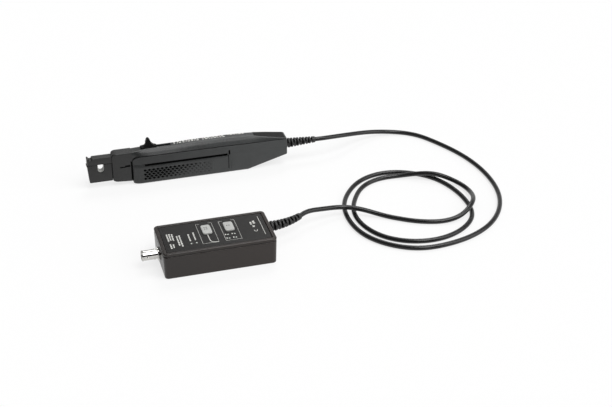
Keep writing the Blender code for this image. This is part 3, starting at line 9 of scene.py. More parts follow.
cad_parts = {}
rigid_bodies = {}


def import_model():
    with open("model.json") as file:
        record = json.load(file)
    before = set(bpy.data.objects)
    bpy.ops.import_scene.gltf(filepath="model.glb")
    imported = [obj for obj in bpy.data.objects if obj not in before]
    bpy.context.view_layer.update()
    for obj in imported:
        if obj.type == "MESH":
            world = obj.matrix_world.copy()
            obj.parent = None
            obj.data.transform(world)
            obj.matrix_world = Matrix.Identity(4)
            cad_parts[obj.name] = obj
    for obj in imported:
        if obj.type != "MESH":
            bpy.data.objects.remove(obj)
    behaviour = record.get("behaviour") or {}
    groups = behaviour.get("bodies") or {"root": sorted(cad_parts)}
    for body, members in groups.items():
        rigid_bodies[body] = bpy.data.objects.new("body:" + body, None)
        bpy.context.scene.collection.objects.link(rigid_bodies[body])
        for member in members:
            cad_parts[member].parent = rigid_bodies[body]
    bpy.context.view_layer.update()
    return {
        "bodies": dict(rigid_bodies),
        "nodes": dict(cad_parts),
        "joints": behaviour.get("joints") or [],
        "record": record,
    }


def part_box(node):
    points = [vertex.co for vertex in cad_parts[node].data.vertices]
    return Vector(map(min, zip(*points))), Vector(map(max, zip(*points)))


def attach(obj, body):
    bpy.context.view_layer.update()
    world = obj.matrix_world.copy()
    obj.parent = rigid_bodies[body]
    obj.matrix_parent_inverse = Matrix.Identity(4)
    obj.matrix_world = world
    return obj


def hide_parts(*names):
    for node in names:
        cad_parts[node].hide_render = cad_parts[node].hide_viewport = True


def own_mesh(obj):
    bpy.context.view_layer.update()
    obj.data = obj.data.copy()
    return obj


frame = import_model()
mm = 0.001

# the probe is written from its tail face and middle, the box from the middle of its underside
tailLow, tailHigh = (np.array(corner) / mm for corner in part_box("lower_housing"))
probeAt = np.array([tailHigh[0], (tailLow[1] + tailHigh[1]) / 2, 0.0])
lidLow, lidHigh = (np.array(corner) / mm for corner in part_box("box_lid"))
boxAt = np.array([*(lidLow + lidHigh)[:2] / 2, 0.0])
print("frame loaded, probe at", probeAt.round(2), "box at", boxAt.round(2))

view = dict(
    place=(-211.014, -1009.517, 610.433),
    forward=(0.24031, 0.829944, -0.503432),
    up=(0.138953, 0.483877, 0.864034),
    lens=74.706, sensor=36.0, clip=(0.05, 20.0),
)


def addObject(name, data):
    thing = bpy.data.objects.new(name, data)
    bpy.context.scene.collection.objects.link(thing)
    return thing


def makeCamera():
    camera = addObject("photo camera", bpy.data.cameras.new("photo camera"))
    ahead = Vector(view["forward"]).normalized()
    side = ahead.cross(Vector(view["up"])).normalized()
    turned = Matrix((side, side.cross(ahead), -ahead)).transposed()
    camera.matrix_world = Matrix.Translation(Vector(view["place"]) * mm) @ turned.to_4x4()
    camera.data.lens, camera.data.sensor_width = view["lens"], view["sensor"]
    camera.data.clip_start, camera.data.clip_end = view["clip"]
    bpy.context.scene.camera = camera
    print("camera made")


cord = dict(
    diameter=4.5,
    height=19.8,             # of its axis where it leaves the probe
    length=1287.0,
    reliefLength=32.0,       # of the probe's strain relief
    gap=0.3,
    straight=1.8,            # how many thicknesses it runs straight out of each relief
    boxReliefTurn=math.radians(34.0),
    boxReliefLength=36.5,
    boxReliefPlace=(50.5, 14.6, 13.8),   # from the box's own middle
)
lying = cord["diameter"] / 2
overOne = lying + cord["diameter"] + 1.0
cordRoute = [    # a point of two numbers lies on the floor
    (132.0, 88.0, 18.7), (146.0, 93.0, 16.2), (163.0, 101.4, 11.8), (182.0, 109.0, 7.2),
    (203.0, 111.0, 3.6), (224.5, 102.8), (243.0, 78.5), (256.0, 51.5), (264.8, 20.0),
    (267.0, -9.0), (262.5, -42.0), (248.5, -72.0), (229.8, -92.2), (206.5, -105.5),
    (181.0, -112.0), (156.5, -111.5), (133.0, -99.5), (115.0, -76.0), (109.5, -48.5),
    (113.0, -21.0), (126.0, 4.0), (148.0, 24.0), (172.0, 29.5), (196.0, 22.0), (213.0, 7.0),
    (224.0, -17.0), (227.6, -45.0), (222.6, -71.0), (206.0, -90.0), (179.5, -101.0),
    (153.5, -98.6), (131.5, -84.2), (119.2, -60.0), (118.4, -34.5), (127.8, -10.0),
    (144.8, 11.6), (165.0, 20.0), (184.5, 18.6, 3.2), (201.0, 12.2, 6.2),
    (213.0, 5.4, overOne), (225.6, -2.4, 5.2), (235.4, -16.5, 3.0), (236.6, -35.5, 4.4),
    (226.9, -58.8, overOne), (210.0, -71.6, 4.4), (188.0, -72.6), (164.5, -63.8),
    (141.5, -48.2, 3.0), (118.0, -36.6, overOne), (105.0, -32.8, 8.6), (86.0, -35.8, 11.4),
]


def distanceAlong(points):
    return np.concatenate([[0.0], np.cumsum(np.linalg.norm(np.diff(points, axis=0), axis=1))])


def curveThrough(points, step):
    # natural cubic curve by chord length: second derivatives from one linear system, even steps
    knots = np.array(points, float)
    place, count = distanceAlong(knots), len(knots)
    gap, inner = np.diff(place), np.arange(1, count - 1)
    system, right = np.zeros((count, count)), np.zeros((count, 3))
    system[0, 0] = system[-1, -1] = 1.0
    system[inner, inner - 1] = gap[:-1]
    system[inner, inner] = 2 * (gap[:-1] + gap[1:])
    system[inner, inner + 1] = gap[1:]
    right[inner] = 6 * np.diff(np.diff(knots, axis=0) / gap[:, None], axis=0)
    bend = np.linalg.solve(system, right)
    dense = np.linspace(0.0, place[-1], int(place[-1]) + 1)
    left = np.clip(np.searchsorted(place, dense, side="right") - 1, 0, count - 2)
    width = gap[left][:, None]
    before, after = (place[left + 1] - dense)[:, None], (dense - place[left])[:, None]
    curve = (bend[left] * before ** 3 + bend[left + 1] * after ** 3) / (6 * width)
    curve += (knots[left] / width - bend[left] * width / 6) * before
    curve += (knots[left + 1] / width - bend[left + 1] * width / 6) * after
    run = distanceAlong(curve)
    even = np.linspace(0.0, run[-1], round(run[-1] / step) + 1)
    return np.stack([np.interp(even, run, curve[:, axis]) for axis in range(3)], axis=1)


def cordPath():
    start = probeAt + (cord["reliefLength"] + cord["gap"], 0.0, cord["height"])
    turn, radius = cord["boxReliefTurn"], cord["boxReliefLength"] / cord["boxReliefTurn"]
    heading = np.array([math.cos(turn), math.sin(turn), 0.0])
    mouth = boxAt + cord["boxReliefPlace"] + (radius * heading[1], radius * (1 - heading[0]), 0.0)
    end = mouth + cord["gap"] * heading
    straight = cord["straight"] * cord["diameter"]
    between = [(*point, lying)[:3] for point in cordRoute]
    path = curveThrough([start, start + (straight, 0.0, -0.1), *between,
                         end + straight * heading, end], 3.0)
    path[:, 2] = np.maximum(path[:, 2], lying)
    return path


def makeCord():
    path = cordPath() * mm
    curve = bpy.data.curves.new("signal cord", "CURVE")
    curve.dimensions = "3D"
    curve.bevel_depth = cord["diameter"] / 2 * mm
    curve.bevel_resolution = 6
    curve.use_fill_caps = True
    line = curve.splines.new("POLY")
    line.points.add(len(path) - 1)
    line.points.foreach_set("co", np.column_stack([path, np.ones(len(path))]).ravel())
    line.use_smooth = True
    piece = register(addObject("signal_cord", curve), "cord", "cord")
    print("cord laid,", len(path), "points")


def hexColour(code):   # sRGB hex to linear light
    parts = np.array([int(code[i:i + 2], 16) for i in (1, 3, 5)]) / 255
    linear = np.where(parts <= 0.04045, parts / 12.92, ((parts + 0.055) / 1.055) ** 2.4)
    return (*linear.tolist(), 1.0)


def linkTo(node, links):
    # a source given as a node stands for its first output in use
    for name, source in links.items():
        if isinstance(source, bpy.types.Node):
            source = next(output for output in source.outputs if output.enabled)
        node.id_data.links.new(source, node.inputs[name])


def addNode(tree, kind, settings=None, links=None):
    node = tree.nodes.new("ShaderNode" + kind)
    for name, value in (settings or {}).items():
        if isinstance(name, int) or name in node.inputs:
            node.inputs[name].default_value = value
        else:
            setattr(node, name, value)
    linkTo(node, links or {})
    return node


def newFinish(name, settings):
    finish = bpy.data.materials.new(name)
    finish.use_nodes = True
    shader = finish.node_tree.nodes["Principled BSDF"]
    for socket, value in settings.items():
        shader.inputs[socket].default_value = value
    return finish, finish.node_tree, shader


def roughen(shader, pattern, low, high, strength, depth):
    # one pattern varies the roughness and lifts the surface by a depth in millimetres
    tree = shader.id_data
    dull = addNode(tree, "MapRange", {"From Min": 0.3, "From Max": 0.7, "To Min": low,
                                      "To Max": high}, {"Value": pattern})
    bump = addNode(tree, "Bump", {"Strength": strength, "Distance": depth * mm},
                   {"Height": pattern})
    linkTo(shader, {"Roughness": dull, "Normal": bump})


def mouldedPlastic(name, colour, pale, roughness, grain, depth, gloss=0.5, patch=14.0, paler=None):
    # injection-moulded ABS: a spark-eroded mould leaves a fine even grain and a satin surface;
    # the span along x, when given, holds two places between which the colour grows paler and paler:
    # painted light, brighter towards +x
    finish, tree, shader = newFinish(name, {"Specular IOR Level": gloss})
    where = addNode(tree, "TexCoord").outputs["Object"]
    patches = addNode(tree, "TexNoise", {"Scale": 1 / (patch * mm), "Detail": 3.0},
                      {"Vector": where})
    grains = addNode(tree, "TexNoise", {"Scale": 1 / (grain * mm), "Detail": 2.0, "Roughness": 0.6},
                     {"Vector": where})
    share = addNode(tree, "MapRange", {"From Min": 0.35, "From Max": 0.65}, {"Value": patches})
    # painted light: the colour is lifted towards the pale one along x
    if paler:
        along = addNode(tree, "SeparateXYZ", None, {"Vector": where}).outputs["X"]
        rise = addNode(tree, "MapRange", {"From Min": paler[0] * mm, "From Max": paler[1] * mm},
                       {"Value": along})
        uneven = addNode(tree, "Math", {"operation": "MULTIPLY", 1: 0.2}, {0: share})
        share = addNode(tree, "Math", {"operation": "ADD", "use_clamp": True}, {0: uneven, 1: rise})
    tint = addNode(tree, "Mix", {"data_type": "RGBA", 6: hexColour(colour), 7: hexColour(pale)},
                   {0: share})
    linkTo(shader, {"Base Color": tint})
    roughen(shader, grains, roughness - 0.05, roughness + 0.06, 0.5, depth)
    return finish


def pitShadedPlastic(name, *moulding, **more):
    # the same moulding, with painted shade in its pits: the deeper a point lies, the blacker and
    # the duller it is
    finish = mouldedPlastic(name, *moulding, **more)
    tree, shader = finish.node_tree, finish.node_tree.nodes["Principled BSDF"]
    pit = addNode(tree, "Attribute", {"attribute_name": "pit"}).outputs["Fac"]
    plain = shader.inputs["Base Color"].links[0].from_socket
    # painted shade: pits and grooves turn black and lose their shine with depth
    tint = addNode(tree, "Mix", {"data_type": "RGBA", 7: hexColour("#040404")}, {0: pit, 6: plain})
    shine = addNode(tree, "MapRange", {"To Min": 0.5, "To Max": 0.03}, {"Value": pit})
    linkTo(shader, {"Base Color": tint, "Specular IOR Level": shine})
    return finish


def platedMetal(name, colour, roughness):
    # turned and plated brass or steel: tool lines 0.3 mm apart run round the axis
    finish, tree, shader = newFinish(name, {"Metallic": 1.0, "Base Color": hexColour(colour)})
    where = addNode(tree, "TexCoord").outputs["Object"]
    stretch = addNode(tree, "Mapping", {"Scale": (1.0, 0.06, 0.06)}, {"Vector": where})
    lines = addNode(tree, "TexNoise", {"Scale": 1 / (0.3 * mm), "Detail": 2.0}, {"Vector": stretch})
    roughen(shader, lines, 0.7 * roughness, 1.4 * roughness, 0.4, 0.006)
    return finish


def circuitBoard(name):
    # glass-fibre laminate under green solder mask: pale copper tracks show through as runs
    finish, tree, shader = newFinish(name, {"Roughness": 0.28})
    where = addNode(tree, "TexCoord").outputs["Object"]
    tracks = addNode(tree, "TexBrick", {
        "Scale": 1 / (9.0 * mm), "Mortar Size": 0.06, "Bias": -0.4, "Color1": hexColour("#0f4a24"),
        "Color2": hexColour("#0c3f1f"), "Mortar": hexColour("#2c7a45")}, {"Vector": where})
    linkTo(shader, {"Base Color": tracks.outputs["Color"]})
    return finish


def clearLens(name):
    # moulded acrylic lens over a small lamp: milky inside, polished outside
    finish, tree, shader = newFinish(name, {"Roughness": 0.12, "IOR": 1.49})
    where = addNode(tree, "TexCoord").outputs["Object"]
    cloud = addNode(tree, "TexNoise", {"Scale": 1 / (0.8 * mm)}, {"Vector": where})
    tint = addNode(tree, "Mix", {"data_type": "RGBA", 6: hexColour("#a7aca6"),
                                 7: hexColour("#d6dad4")}, {0: cloud})
    linkTo(shader, {"Base Color": tint})
    return finish


def woundWire(name):
    # enamelled copper wire: turns lie side by side, so it is ribbed at the wire's 0.3 mm
    finish, tree, shader = newFinish(name, {"Roughness": 0.3})
    where = addNode(tree, "TexCoord").outputs["Object"]
    turns = addNode(tree, "TexWave", {"bands_direction": "Z", "Scale": 1 / (0.3 * mm) / 20,
                                      "Distortion": 0.4}, {"Vector": where}).outputs["Fac"]
    tint = addNode(tree, "Mix", {"data_type": "RGBA", 6: hexColour("#5d2a10"),
                                 7: hexColour("#b0602c")}, {0: turns})
    bump = addNode(tree, "Bump", {"Strength": 0.7, "Distance": 0.1 * mm}, {"Height": turns})
    linkTo(shader, {"Base Color": tint, "Normal": bump})
    return finish


# each finish with the record's slot that it belongs to
finishes = {
    # the spans along x below paint light onto the body, head, roof, grip and box, paler towards +x
    "body": (mouldedPlastic("charcoal moulded ABS", "#202121", "#3d3f3f", 0.4, 0.42, 0.05,
                            paler=(-75.0, 80.0)), "charcoal"),
    "head": (mouldedPlastic("charcoal glass-filled nylon", "#191817", "#242424", 0.45, 0.5, 0.06,
                            paler=(-120.0, -60.0)), "charcoal"),
    "roof": (mouldedPlastic("coarse-grained charcoal ABS", "#232424", "#363838", 0.3, 0.9, 0.1,
                            paler=(-75.0, 60.0)), "charcoal"),
    "lever": (mouldedPlastic("black moulded acetal", "#080808", "#0d0d0d", 0.5, 0.6, 0.08, 0.12),
              "charcoal"),
    "grip": (pitShadedPlastic("charcoal grip insert", "#202121", "#3d3f3f", 0.42, 0.42, 0.05,
                           paler=(-75.0, 80.0)), "grip"),
    "box": (mouldedPlastic("black moulded ABS", "#1d1612", "#241b16", 0.3, 0.38, 0.03,
                           paler=(-60.0, 20.0)), "black"),
    # painted shade: this black film on the falling part of the roof stands for that facet's shade
    "plate": (mouldedPlastic("matt black painted-shade film", "#090909", "#0c0c0c", 0.55, 0.5, 0.02, 0.2),
              "label"),
    "inner": (mouldedPlastic("black phenolic moulding", "#171717", "#1d1d1d", 0.4, 0.5, 0.02),
              "black"),
    "rubber": (pitShadedPlastic("black moulded rubber", "#1e1e1e", "#252525", 0.45, 0.6, 0.04),
               "rubber"),
    # painted shade: black strips laid in the grip's groove, keyhole and joint and in the neck's
    # slit and step
    "shadeStrip": (mouldedPlastic("dull black painted-shade strip", "#040404", "#060606", 0.8, 0.6, 0.03, 0.08),
             "rubber"),
    "cord": (mouldedPlastic("black PVC cord sheath", "#0b0b0c", "#101011", 0.26, 0.8, 0.02,
                            patch=40.0), "rubber"),
    "liner": (mouldedPlastic("natural nylon", "#a5a5a2", "#b2b2af", 0.45, 0.4, 0.03), "nylon"),
    "nylon": (mouldedPlastic("white nylon", "#d8d5cc", "#e2dfd8", 0.4, 0.5, 0.02), "nylon"),
    "ferrite": (mouldedPlastic("ground ferrite", "#3a3a3e", "#46464a", 0.42, 0.3, 0.03), "ferrite"),
    "key": (mouldedPlastic("light grey moulded key", "#b4b5b2", "#bcbdba", 0.42, 0.4, 0.03), "key"),
    "film": (mouldedPlastic("printed polycarbonate film", "#110f0e", "#151312", 0.36, 0.7, 0.015,
                            0.3), "label"),
    "ink": (mouldedPlastic("white screen-printing ink", "#dcdcd7", "#e6e6e1", 0.55, 0.25, 0.01),
            "label"),
    "greyInk": (mouldedPlastic("grey screen-printing ink", "#6a6b69", "#747573", 0.55, 0.25, 0.01),
                "key"),
    "nickel": (platedMetal("polished nickel plate", "#c9c8c4", 0.07), "nickel"),
    "steel": (platedMetal("zinc-plated steel", "#a9abad", 0.3), "steel"),
    "gold": (platedMetal("gold flash over nickel", "#d9b35f", 0.2), "gold"),
    "copper": (woundWire("enamelled copper winding"), "copper"),
    "board": (circuitBoard("green solder mask"), "board"),
    "lens": (clearLens("clear acrylic lens"), "lamp"),
}
flatEdge = 0.12      # from the end of a rounding to the first flat face beside it


def quarterArc(steps):
    # along a quarter circle: 1 - cos, the way come, and 1 - sin, the rise that is left
    turn = np.linspace(0.0, math.pi / 2, steps + 1)
    return 1 - np.cos(turn), 1 - np.sin(turn)


def roundCorners(corners, reach, steps=5):
    # every corner of every ring becomes an arc, a rational quadratic between its tangent points,
    # with one more point just outside each, so that the flats beside it are shaded flat
    before, after = (np.roll(corners, turn, axis=1) - corners for turn in (1, -1))
    sideBefore = np.linalg.norm(before, axis=2, keepdims=True)
    sideAfter = np.linalg.norm(after, axis=2, keepdims=True)
    before, after = before / sideBefore, after / sideAfter
    limit = np.minimum(sideBefore, sideAfter)
    wanted = np.broadcast_to(np.asarray(reach, float), corners.shape[:2])[..., None]
    near = np.minimum(wanted, 0.45 * limit)
    far = np.minimum(near + flatEdge, 0.48 * limit)
    weight = np.sqrt(np.clip((1 - (before * after).sum(axis=2)) / 2, 0.0, 1.0))[..., None, None]
    share = np.linspace(0.0, 1.0, steps + 1)[:, None]
    first, last = (corners + near * before)[:, :, None], (corners + near * after)[:, :, None]
    pull = 2 * share * (1 - share) * weight
    arcs = (1 - share) ** 2 * first + pull * corners[:, :, None] + share ** 2 * last
    arcs = arcs / ((1 - share) ** 2 + pull + share ** 2)
    points = np.concatenate([(corners + far * before)[:, :, None], arcs,
                             (corners + far * after)[:, :, None]], axis=2)
    return points.reshape(len(corners), -1, corners.shape[2])


def insetCorners(corners, depth):
    # each corner moves in along its two sides' normals; the outlines run counter-clockwise
    side = np.roll(corners, -1, axis=1) - corners
    side = side / np.linalg.norm(side, axis=2, keepdims=True)
    normal = np.stack([-side[..., 1], side[..., 0]], axis=-1)
    last = np.roll(normal, 1, axis=1)
    shift = (last + normal) / (1 + (last * normal).sum(axis=2, keepdims=True))
    return corners + np.asarray(depth, float)[:, None, None] * shift


def ringPlaces(low, high, between, roundLow, roundHigh, steps=5):
    # where the rings stand, and how far each is drawn in: a quarter circle at both ends
    come, left = quarterArc(steps)
    first, last = low + roundLow + flatEdge, high - roundHigh - flatEdge
    middle = [first, *(place for place in between if first < place < last), last]
    depth = [roundLow * left, np.zeros(len(middle)), roundHigh * left[::-1]]
    places = [low + roundLow * come, middle, high - roundHigh * come[::-1]]
    return np.concatenate(places), np.concatenate(depth)


def skin(rings, closed=False):
    # quads between neighbouring rings, and a face over each end ring or quads back to the first
    count, around = rings.shape[:2]
    index = np.arange(count * around).reshape(count, around)
    here = index if closed else index[:-1]
    above = np.roll(index, -1, axis=0)[:len(here)]
    quads = np.stack([here, np.roll(here, -1, axis=1), np.roll(above, -1, axis=1), above], axis=-1)
    ends = [] if closed else [index[0].tolist(), index[-1].tolist()]
    return rings.reshape(-1, 3), quads.reshape(-1, 4).tolist() + ends


def stand(outlines, places, axis):
    # outlines in the two other axes, each set at its place along this one
    parts = [outlines[..., 0], outlines[..., 1]]
    places = np.broadcast_to(np.asarray(places, float)[:, None], outlines.shape[:2])
    parts.insert("xyz".index(axis), places)
    return np.stack(parts, axis=-1)


def slab(outline, low, high, axis, rim=0.3, reach=0.3, steps=4):
    # one outline pushed along an axis, with round corners and rounded rims
    places, depth = ringPlaces(low, high, [], rim, rim, steps)
    corners = np.broadcast_to(np.asarray(outline, float), (len(places), len(outline), 2))
    return skin(stand(roundCorners(insetCorners(corners, depth), reach, steps), places, axis))


def plainBlock(x, y, z):
    # from the lowest and highest x, y and z
    outline = np.array([[(x[0], y[0]), (x[1], y[0]), (x[1], y[1]), (x[0], y[1])]] * 2, float)
    return skin(stand(outline, z, "z"))


def pocket(front, rear, half, low, high):
    # what is hollowed out on both sides of y = 0
    return plainBlock((front, rear), (-half, half), (low, high))


def rectangle(centre, size):
    return [(centre[0] + a * size[0] / 2, centre[1] + b * size[1] / 2)
            for a, b in ((-1, -1), (1, -1), (1, 1), (-1, 1))]


def mirrored(*points):
    # a closed outline from the half widths and heights up its right side, lowest first
    right = [np.stack(np.broadcast_arrays(half, height), axis=-1) for half, height in points]
    left = [corner * (-1, 1) for corner in right]
    return np.stack([left[0], *right, *left[:0:-1]], axis=1)


def lengthwise(x, depth, reach, *points, level=slice(0)):
    # a body along x from its right side's points, drawn in by `depth`; the corners in `level`
    # keep their height
    corners = mirrored(*points)
    inward = insetCorners(corners, depth)
    inward[:, level, 1] = corners[:, level, 1]
    return skin(stand(roundCorners(inward, reach), x, "x"))


def outward(sign, inner, outer=11.0):
    # from one distance to another on either side; the usual outer one is past every face
    return sorted((sign * inner, sign * outer))


def revolve(profile, axis, centre, sides=48, closed=False):
    # (place along the axis, radius) pairs turned round it
    profile = np.array(profile, float)
    angle = np.linspace(0.0, 2 * math.pi, sides, endpoint=False)
    ring = np.stack([np.cos(angle), np.sin(angle)], axis=-1)
    outlines = profile[:, 1, None, None] * ring + np.array(centre, float)
    return skin(stand(outlines, profile[:, 0], axis), closed)


def joined(*shapes):
    corners, faces, base = [], [], 0
    for points, quads in shapes:
        corners.append(points)
        faces += [[index + base for index in face] for face in quads]
        base += len(points)
    return np.concatenate(corners), faces


def makeMesh(name, shape, place):
    mesh = bpy.data.meshes.new(name)
    mesh.from_pydata((shape[0] + place) * mm, [], shape[1])
    loose = bmesh.new()
    loose.from_mesh(mesh)
    bmesh.ops.remove_doubles(loose, verts=loose.verts, dist=1e-7)
    bmesh.ops.recalc_face_normals(loose, faces=loose.faces)
    loose.to_mesh(mesh)
    loose.free()
    return mesh


def shadeMesh(mesh, sharp=32.0):
    mesh.shade_smooth()
    mesh.set_sharp_from_angle(angle=math.radians(sharp))


def register(piece, finish, *nodes, body="body"):
    # `nodes` are the frame's pieces that this one stands for
    piece.data.materials.append(finishes[finish][0])
    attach(piece, body)
    if nodes:
        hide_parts(*nodes)
    return piece


def makePiece(name, shape, place, finish, *nodes, body="body", sharp=32.0):
    mesh = makeMesh(name, shape, place)
    shadeMesh(mesh, sharp)
    return register(addObject(name, mesh), finish, *nodes, body=body)


def carve(piece, place, shapes):
    # cuts closed shapes out of a piece for good
    tools = [addObject("cutter", makeMesh("cutter", shape, place)) for shape in shapes]
    for tool in tools:
        step = piece.modifiers.new("cut", "BOOLEAN")
        step.solver = "EXACT"
        step.object = tool
    bpy.context.view_layer.update()
    graph = bpy.context.evaluated_depsgraph_get()
    carved = bpy.data.meshes.new_from_object(piece.evaluated_get(graph))
    piece.modifiers.clear()
    piece.data = carved
    shadeMesh(carved)
    for tool in tools:
        bpy.data.objects.remove(tool)


probe = dict(
    gripFront=-154.5, gripEnd=-58.5, neckFront=-174.0, noseFront=-198.6, tailEnd=0.9,
    bodyHalf=8.0, gripHalf=9.1, neckHalf=5.8, noseHalf=3.8,
    seam=20.8, crease=29.0, roof=35.6, roofFlat=3.2,
    neckBottom=4.1, neckTop=34.7, noseBottom=5.8, noseTop=31.7, jawSeam=24.4,
    tailTaper=39.5, tailLift=10.8,
    tailHalf=7.4,         # the sides draw in a little towards the tail
    tailBelly=0.7,        # how far the tail's sides lean out towards the underside
    lean=0.35,            # how far the upper half leans in between seam and crease
    bellySwell=3.0,       # height over which the grip's swell dies out under the seam
    frontCurve=8.0,       # length of the grip's rounded front
    frontDraw=2.2,        # how much narrower the grip is at its front face
    frontLift=1.2,
)
gripFront, tailEnd, tailTaper = probe["gripFront"], probe["tailEnd"], -probe["tailTaper"]
bodyHalf, gripHalf, neckHalf = probe["bodyHalf"], probe["gripHalf"], probe["neckHalf"]
groove = dict(front=-143.0, rear=-60.3, low=19.0, top=21.6, depth=1.45)
neckStep = dict(gap=1.5, depth=1.25, top=25.0)    # shadow line between neck and grip
neckSlit = (((-166.6, -161.2), (19.0, 20.4)), ((-161.6, -156.6), (19.3, 21.4)))
keyhole = [(-59.2, 19.5), (-57.5, 19.5), (-57.5, 24.4), (-59.2, 24.4)]
gripJoints = ((-59.5, 0.9, 0.4), (-57.0, 0.5, 0.25))    # place, depth and half width
screwHoles = dict(places=(-147.6, -67.5, -26.0), radius=2.3, seat=2.6)


def bulge(x, start, length, amount):
    # falls from `amount` at the start to nothing a length later, along a quarter ellipse
    share = np.clip((x - start) / length, 0.0, 1.0)
    return amount * (1 - np.sqrt(1 - (1 - share) ** 2))


def gripHalfAt(x):
    end, belly = probe["gripEnd"], probe["tailBelly"]
    half = np.interp(x, [end - 1.1, end - 0.9, tailTaper, 0.0],
                     [gripHalf, bodyHalf + belly, bodyHalf + belly, probe["tailHalf"] + belly])
    return half - bulge(x, gripFront, probe["frontCurve"], probe["frontDraw"])


def sideHalfAt(x):
    half = np.interp(x, [tailTaper, 0.0], [bodyHalf, probe["tailHalf"]])
    return half - bulge(x, gripFront, probe["frontCurve"], 1.9)


def undersideAt(x):
    lift = probe["tailLift"] * np.clip(1 - x / tailTaper, 0.0, 1.0)
    return lift + bulge(x, gripFront, probe["frontCurve"], probe["frontLift"])


def creaseAt(x):
    return probe["crease"] - bulge(x, gripFront, 7.0, 4.0) - np.interp(x, [-60.0, 0.0], [0.0, 0.9])


def frontRings(*between):
    curve = 1 - np.cos(np.linspace(0.2, math.pi / 2, 11))
    return sorted([*(gripFront + probe["frontCurve"] * curve), *between])


def makeLowerShell():
    end = probe["gripEnd"]
    rings = frontRings(end - 1.2, end - 1.1, end - 0.9, end - 0.8, tailTaper - 1, tailTaper,
                       tailTaper + 1)
    x, depth = ringPlaces(gripFront, tailEnd, rings, 0.3, 0.9)
    side, low, top = gripHalfAt(x), undersideAt(x), probe["seam"] + 0.26
    swell = np.where(x < end - 1.0, top - probe["bellySwell"], low + 5.0)
    shape = lengthwise(x, depth, [2.6, 2.6, 2.4, 0.03, 0.03, 2.4], (side, low), (side, swell),
                       (sideHalfAt(x), top), level=slice(3, 5))
    piece = makePiece("lower_shell", shape, probeAt, "body", "lower_housing")
    cuts = [pocket(gripFront + 3.5, -3.0, 6.4, 13.5, 23.0),
            pocket(gripFront + 3.5, -42.0, 6.4, 1.6, 14.0),
            pocket(gripFront - 2, gripFront + 5, 4.2, 8.1, 23.0)]
    front, rear, low, top = (groove[name] for name in ("front", "rear", "low", "top"))
    line = rectangle(((front + rear) / 2, (low + top) / 2), (rear - front, top - low))
    for sign in (-1, 1):
        cuts.append(slab(line, *outward(sign, bodyHalf - groove["depth"]), "y", 0.02, 0.4))
        cuts += [plainBlock((at - half, at + half), outward(sign, gripHalfAt(at) - deep),
                            (4.6, 21.4)) for at, deep, half in gripJoints]
        cuts.append(slab(keyhole, *outward(sign, bodyHalf - 1.5), "y", 0.02, 0.6))
        seat = outward(sign, gripHalf - panel["seat"])
        cuts.append(slab(panelOutline(-0.5), *seat, "y", 0.02, 1.6))
    for at in screwHoles["places"]:
        seat = float(undersideAt(np.array([at + 3.0]))[0]) + screwHoles["seat"]
        radius = screwHoles["radius"]
        cuts.append(revolve([(-3.0, radius), (seat, radius)], "z", (at, 0.0), 32))
    carve(piece, probeAt, cuts)


def makeShadeStrips():
    # black strips lie in the groove between the halves of the grip, in its keyhole and joint, and
    # in the neck's slit and step, a hair clear of their walls: painted shade that darkens these
    # gaps
    x, low = (groove["front"] + 0.3, groove["rear"] - 0.3), groove["low"]
    rear, deep, hair, strips = gripFront - 0.1, bodyHalf - groove["depth"], 0.02, []
    for sign in (-1, 1):
        strips += [
            plainBlock(x, outward(sign, deep + hair, 8.15), (low + hair, low + 0.3)),
            plainBlock(x, outward(sign, deep + hair, deep + 0.3), (low + 0.31, 21.0)),
            plainBlock((rear - neckStep["gap"] + 0.03, rear - 0.03),
                       outward(sign, neckHalf - neckStep["depth"] + hair, neckHalf - 0.5),
                       (4.6, neckStep["top"] - 0.05)),
            plainBlock((-59.86, -59.14), outward(sign, 8.0, 8.5), (4.7, 19.4)),
            plainBlock((keyhole[0][0] + 0.03, keyhole[1][0] - 0.03),
                       outward(sign, bodyHalf - 1.45, bodyHalf - 0.6),
                       (keyhole[0][1] + 0.05, keyhole[2][1] - 0.05))]
        strips += [plainBlock((along[0] + hair, along[1] - hair),
                              outward(sign, neckHalf - 1.2, neckHalf - 0.3),
                              (up[0] + hair, up[1] - hair)) for along, up in neckSlit]
    makePiece("body_shade_strips", joined(*strips), probeAt, "shadeStrip")


panel = dict(
    front=-145.0, length=70.0, low=3.6, height=13.0, corner=2.0, proud=0.12, seat=2.2,
    rowPitch=2.3, columnPitch=4.2, firstColumn=-143.2, lastColumn=-76.0, topRow=14.8, rows=5,
    pitReach=(2.05, 1.52), pitDepth=1.6, fadeLength=35.0, rowFade=0.14,
)


def panelOutline(grow):
    centre = (panel["front"] + panel["length"] / 2, panel["low"] + panel["height"] / 2)
    return rectangle(centre, (panel["length"] + 2 * grow, panel["height"] + 2 * grow))


def pitDepth(x, z):
    # two square lattices shifted by half a cell make the quincunx; each pit is a diamond with
    # steep sides, |x| / reach + |z| / reach < 1, and fades towards the tail and the lower rows
    deepest = np.zeros_like(x)
    first, last, pitch = (panel[name] for name in ("firstColumn", "lastColumn", "columnPitch"))
    topRow, rowPitch, (reachX, reachZ) = panel["topRow"], panel["rowPitch"], panel["pitReach"]
    for shift, firstRow in ((0.0, 0), (0.5, 1)):
        column = np.round((x - first) / pitch - shift)
        row = np.round(((topRow - z) / rowPitch - firstRow) / 2)
        row = 2 * np.clip(row, 0, (panel["rows"] - 1 - firstRow) // 2) + firstRow
        middleX, middleZ = first + (column + shift) * pitch, topRow - row * rowPitch
        fade = (last + 2.0 - middleX) / panel["fadeLength"] - panel["rowFade"] * row
        fade = np.clip(fade, 0.2, 1.0)
        reach = 1 - np.abs(x - middleX) / reachX - np.abs(z - middleZ) / reachZ
        wall = np.clip((reach - 0.35 * (1 - fade)) / 0.3, 0.0, 1.0)
        shown = (middleX <= last) & (middleX >= first - 0.1)
        deepest = np.maximum(deepest, np.where(shown, fade * wall * wall * (3 - 2 * wall), 0.0))
    return deepest


